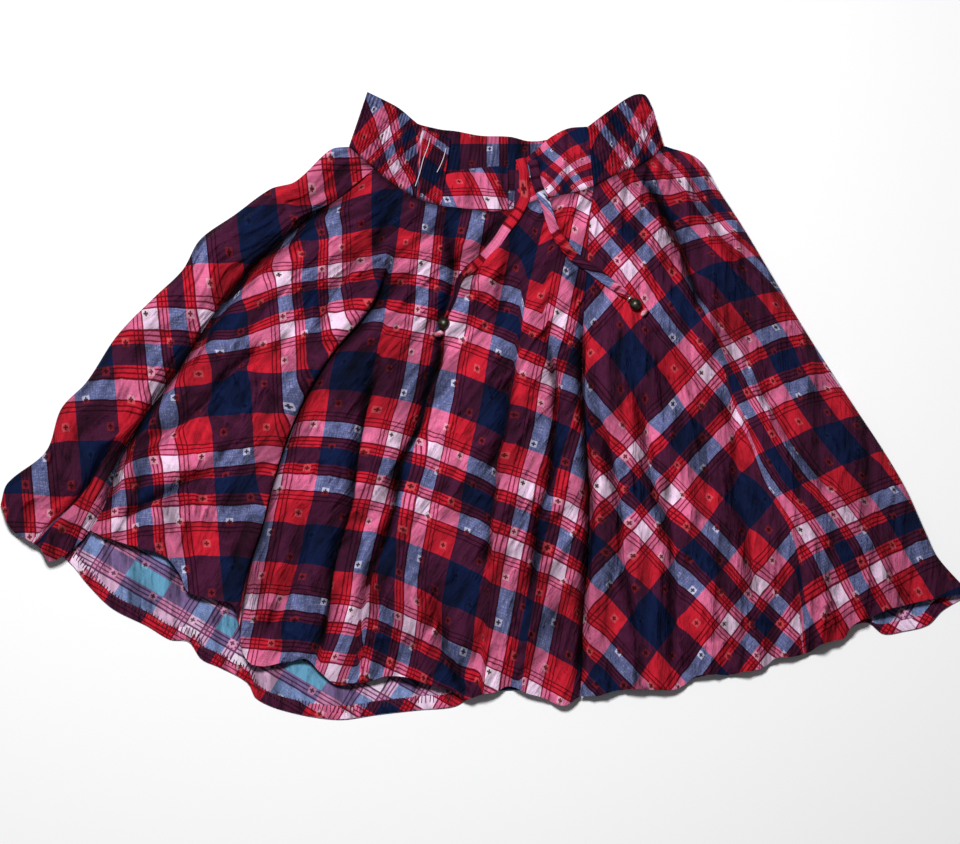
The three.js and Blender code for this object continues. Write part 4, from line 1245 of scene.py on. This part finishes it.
def knot(side):
    """A wrap of cloth, drawn tight on one side and bulging where it crosses on the other."""
    x, y, z, turn = KNOTS[side]
    bpy.ops.mesh.primitive_torus_add(
        major_segments=36, minor_segments=16, major_radius=2.2 * MM, minor_radius=1.9 * MM)
    shape(lambda out, _y, up: out > 2.4 and abs(up) < 1.2, 0.3, (1.06, 0.9, 1.1))
    shape(lambda out, _y, up: out < -2.6, 0.3, (0.95, 0.8, 0.8))
    lay_at((x, y, z), turn)
    return settle("tied_end_" + side, "knot_" + side, CLOTH_KNOT)


def knot_cloth():
    """The tied end of a tie: pink, pulled tight, with the plaid too small to read."""
    look = Look("knotted cloth")
    place = look.node("TexCoord").outputs["Object"]
    patch = look.noise(place, 260, 2.0)
    thread = look.noise(look.scaled(place, (1, 1, 3)), 1800, 3.0, 0.7)
    tone = look.blend(patch.ramp(0.45, 0.6), paint(214, 96, 120), paint(238, 196, 208))
    tone = look.blend(thread.ramp(0.5, 0.75) * 0.5, tone, paint(120, 30, 48))
    look.lit(Base_Color=tone, Roughness=0.8 + thread * 0.1,
             Normal=look.bump(thread + patch * 2.0, 0.0006, 0.7))
    return look.material


CLOTH_KNOT = knot_cloth()
beads = {side: bead(side) for side in BEADS}
knots = {side: knot(side) for side in KNOTS}
bpy.ops.mesh.primitive_torus_add(
    major_segments=28, minor_segments=12, major_radius=2.1 * MM, minor_radius=1.1 * MM)
shape(lambda _x, _y, up: abs(up) > 0.8, 0.12, (1, 1, 0.88))
lay_at(SPACER, math.radians(-45))
spacer = settle("silver_spacer", "spacer_right", SPACER_METAL)


# ------------------------------------------------------------------ sewing
def thread_look(name, colour, dark):
    look = Look(name)
    place = look.node("TexCoord").outputs["Object"]
    fibre = look.noise(place, 2600, 3.0, 0.6)
    look.lit(Base_Color=look.blend(fibre, paint(*dark), paint(*colour)),
             Roughness=0.8 + fibre * 0.1,
             Normal=look.bump(fibre, 0.0001, 0.4))
    return look.material


STITCH_EVERY, STITCH_LENGTH, STITCH_RADIUS, STITCH_HEIGHT = 3.3, 6.2, 0.34, 2.75


def overlock(first=0.05, last=0.60, steps=900):
    """The comb of thread over the turned edge of the back: one stitch made, the rest copied."""
    share = np.linspace(first, last, steps)
    edge, inner = back_plan(share, 1.0), back_plan(share, 0.9)
    run = np.concatenate([[0], np.cumsum(np.hypot(*np.diff(edge, axis=0).T))])
    stitches = []
    uneven = random.Random(12)
    at = 0.0
    while at < run[-1]:
        step = min(int(np.searchsorted(run, at)), steps - 1)
        toward = inner[step] - edge[step]
        toward /= np.hypot(*toward)
        centre = edge[step] + toward * (HEM_TURN - 1.6 + uneven.uniform(-0.5, 0.5))
        turn = math.atan2(toward[1], toward[0]) + uneven.uniform(-0.14, 0.14)
        if not stitches:
            bpy.ops.mesh.primitive_cylinder_add(
                vertices=8, radius=STITCH_RADIUS * MM, depth=STITCH_LENGTH * MM)
            shape(lambda _x, _y, up: abs(up) > STITCH_LENGTH * 0.48, 0.1, (1, 1, 1.04))
        else:
            bpy.ops.object.duplicate(linked=False)
        bpy.context.object.location = (centre[0] * MM, centre[1] * MM, STITCH_HEIGHT * MM)
        bpy.context.object.rotation_euler = (0, math.pi / 2, turn)
        stitches.append(bpy.context.object)
        at += STITCH_EVERY * uneven.uniform(0.85, 1.15)
    for stitch in stitches:
        stitch.select_set(True)
    bpy.context.view_layer.objects.active = stitches[0]
    bpy.ops.object.join()
    return settle("overlock_thread", None, thread_look(
        "maroon thread", (84, 22, 44), (40, 10, 26)))


def loose_thread(name, points, radius=0.35, steps=60, around=6):
    """A thread end left hanging on the band: a thin round tube along its way."""
    middle = Line(points)(np.linspace(0, 1, steps + 1))
    wide, high = ways(middle)
    angle = 2 * math.pi * np.arange(around) / around
    rings = (middle[:, None] + radius * (np.cos(angle)[None, :, None] * wide[:, None]
                                         + np.sin(angle)[None, :, None] * high[:, None]))
    mesh = tube_mesh(name, rings)
    mesh.shade_smooth()
    return piece(name, mesh, None, [WHITE_THREAD])


def above_band(x, y, lift=1.6):
    """The height of the top of the band there, with a little to spare."""
    highest = 0.0
    for cloth in bands:
        spots = np.empty(len(cloth.data.vertices) * 3)
        cloth.data.vertices.foreach_get("co", spots)
        spots = spots.reshape(-1, 3) / MM
        near = np.hypot(spots[:, 0] - x, spots[:, 1] - y) < 3
        if near.any():
            highest = max(highest, spots[near, 2].max())
    return highest + lift


WHITE_THREAD = thread_look("white thread", (236, 224, 232), (196, 176, 190))
LOOSE_ENDS = {
    "loose_thread": [(-48, 236), (-50, 228), (-54, 217), (-57, 205), (-61, 193)],
    "short_thread_end": [(-34, 227), (-36, 219), (-39, 211), (-42, 205)],
}
overlock()
for label, way in LOOSE_ENDS.items():
    loose_thread(label, [(x, y, above_band(x, y)) for x, y in way])


# ---------------------------------------------------------- floor and light
def stage_floor():
    bpy.ops.mesh.primitive_plane_add(size=6, location=(0, 0, -0.0004))
    floor = bpy.context.object
    floor.name = "floor"
    floor.data.materials.append(pale_floor())
    floor.select_set(False)


def lamp(name, place, size, power):
    light = bpy.data.lights.new(name, "AREA")
    light.size, light.energy = size, power
    holder = bpy.data.objects.new(name, light)
    holder.location = place
    holder.rotation_euler = Vector(place).to_track_quat("Z", "Y").to_euler()
    bpy.context.scene.collection.objects.link(holder)


def studio(strength):
    """A plain white surround that fills the shadows a little."""
    world = bpy.data.worlds.new("studio")
    world.use_nodes = True
    surround = world.node_tree.nodes["Background"].inputs
    surround["Color"].default_value = (1, 1, 1, 1)
    surround["Strength"].default_value = strength
    bpy.context.scene.world = world


stage_floor()
lamp("key", (-0.30, 0.45, 1.9), 0.45, 43)
studio(0.12)
bpy.context.scene.view_settings.view_transform = "Standard"


SHEETS = [  # the piece, the cut that shows as width and length in metres, its share of that
    (front, (0.60, 0.42), 0.70, "laid", [back]),
    (left_gore, (0.11, 0.40), 0.75, "laid", [back]),
    (right_gore, (0.44, 0.45), 0.60, "laid", [back]),
    (back, (0.92, 0.50), 0.66, "laid", []),
    (hem, (0.95, 0.011), 1.0, "laid", [back]),
    (bands[0], (0.13, 0.055), 1.0, "gathered", [band_behind]),
    (bands[1], (0.062, 0.040), 1.0, "laid", [band_behind]),
    (bands[2], (0.075, 0.052), 1.0, "laid", [band_behind]),
    (bands[3], (0.095, 0.055), 1.0, "gathered", [band_behind]),
    (band_behind, (0.30, 0.055), 1.0, "gathered", []),
]
for cloth, cut, share, held, below in SHEETS:
    None if share == 1.0 else share * cut[0] * cut[1]
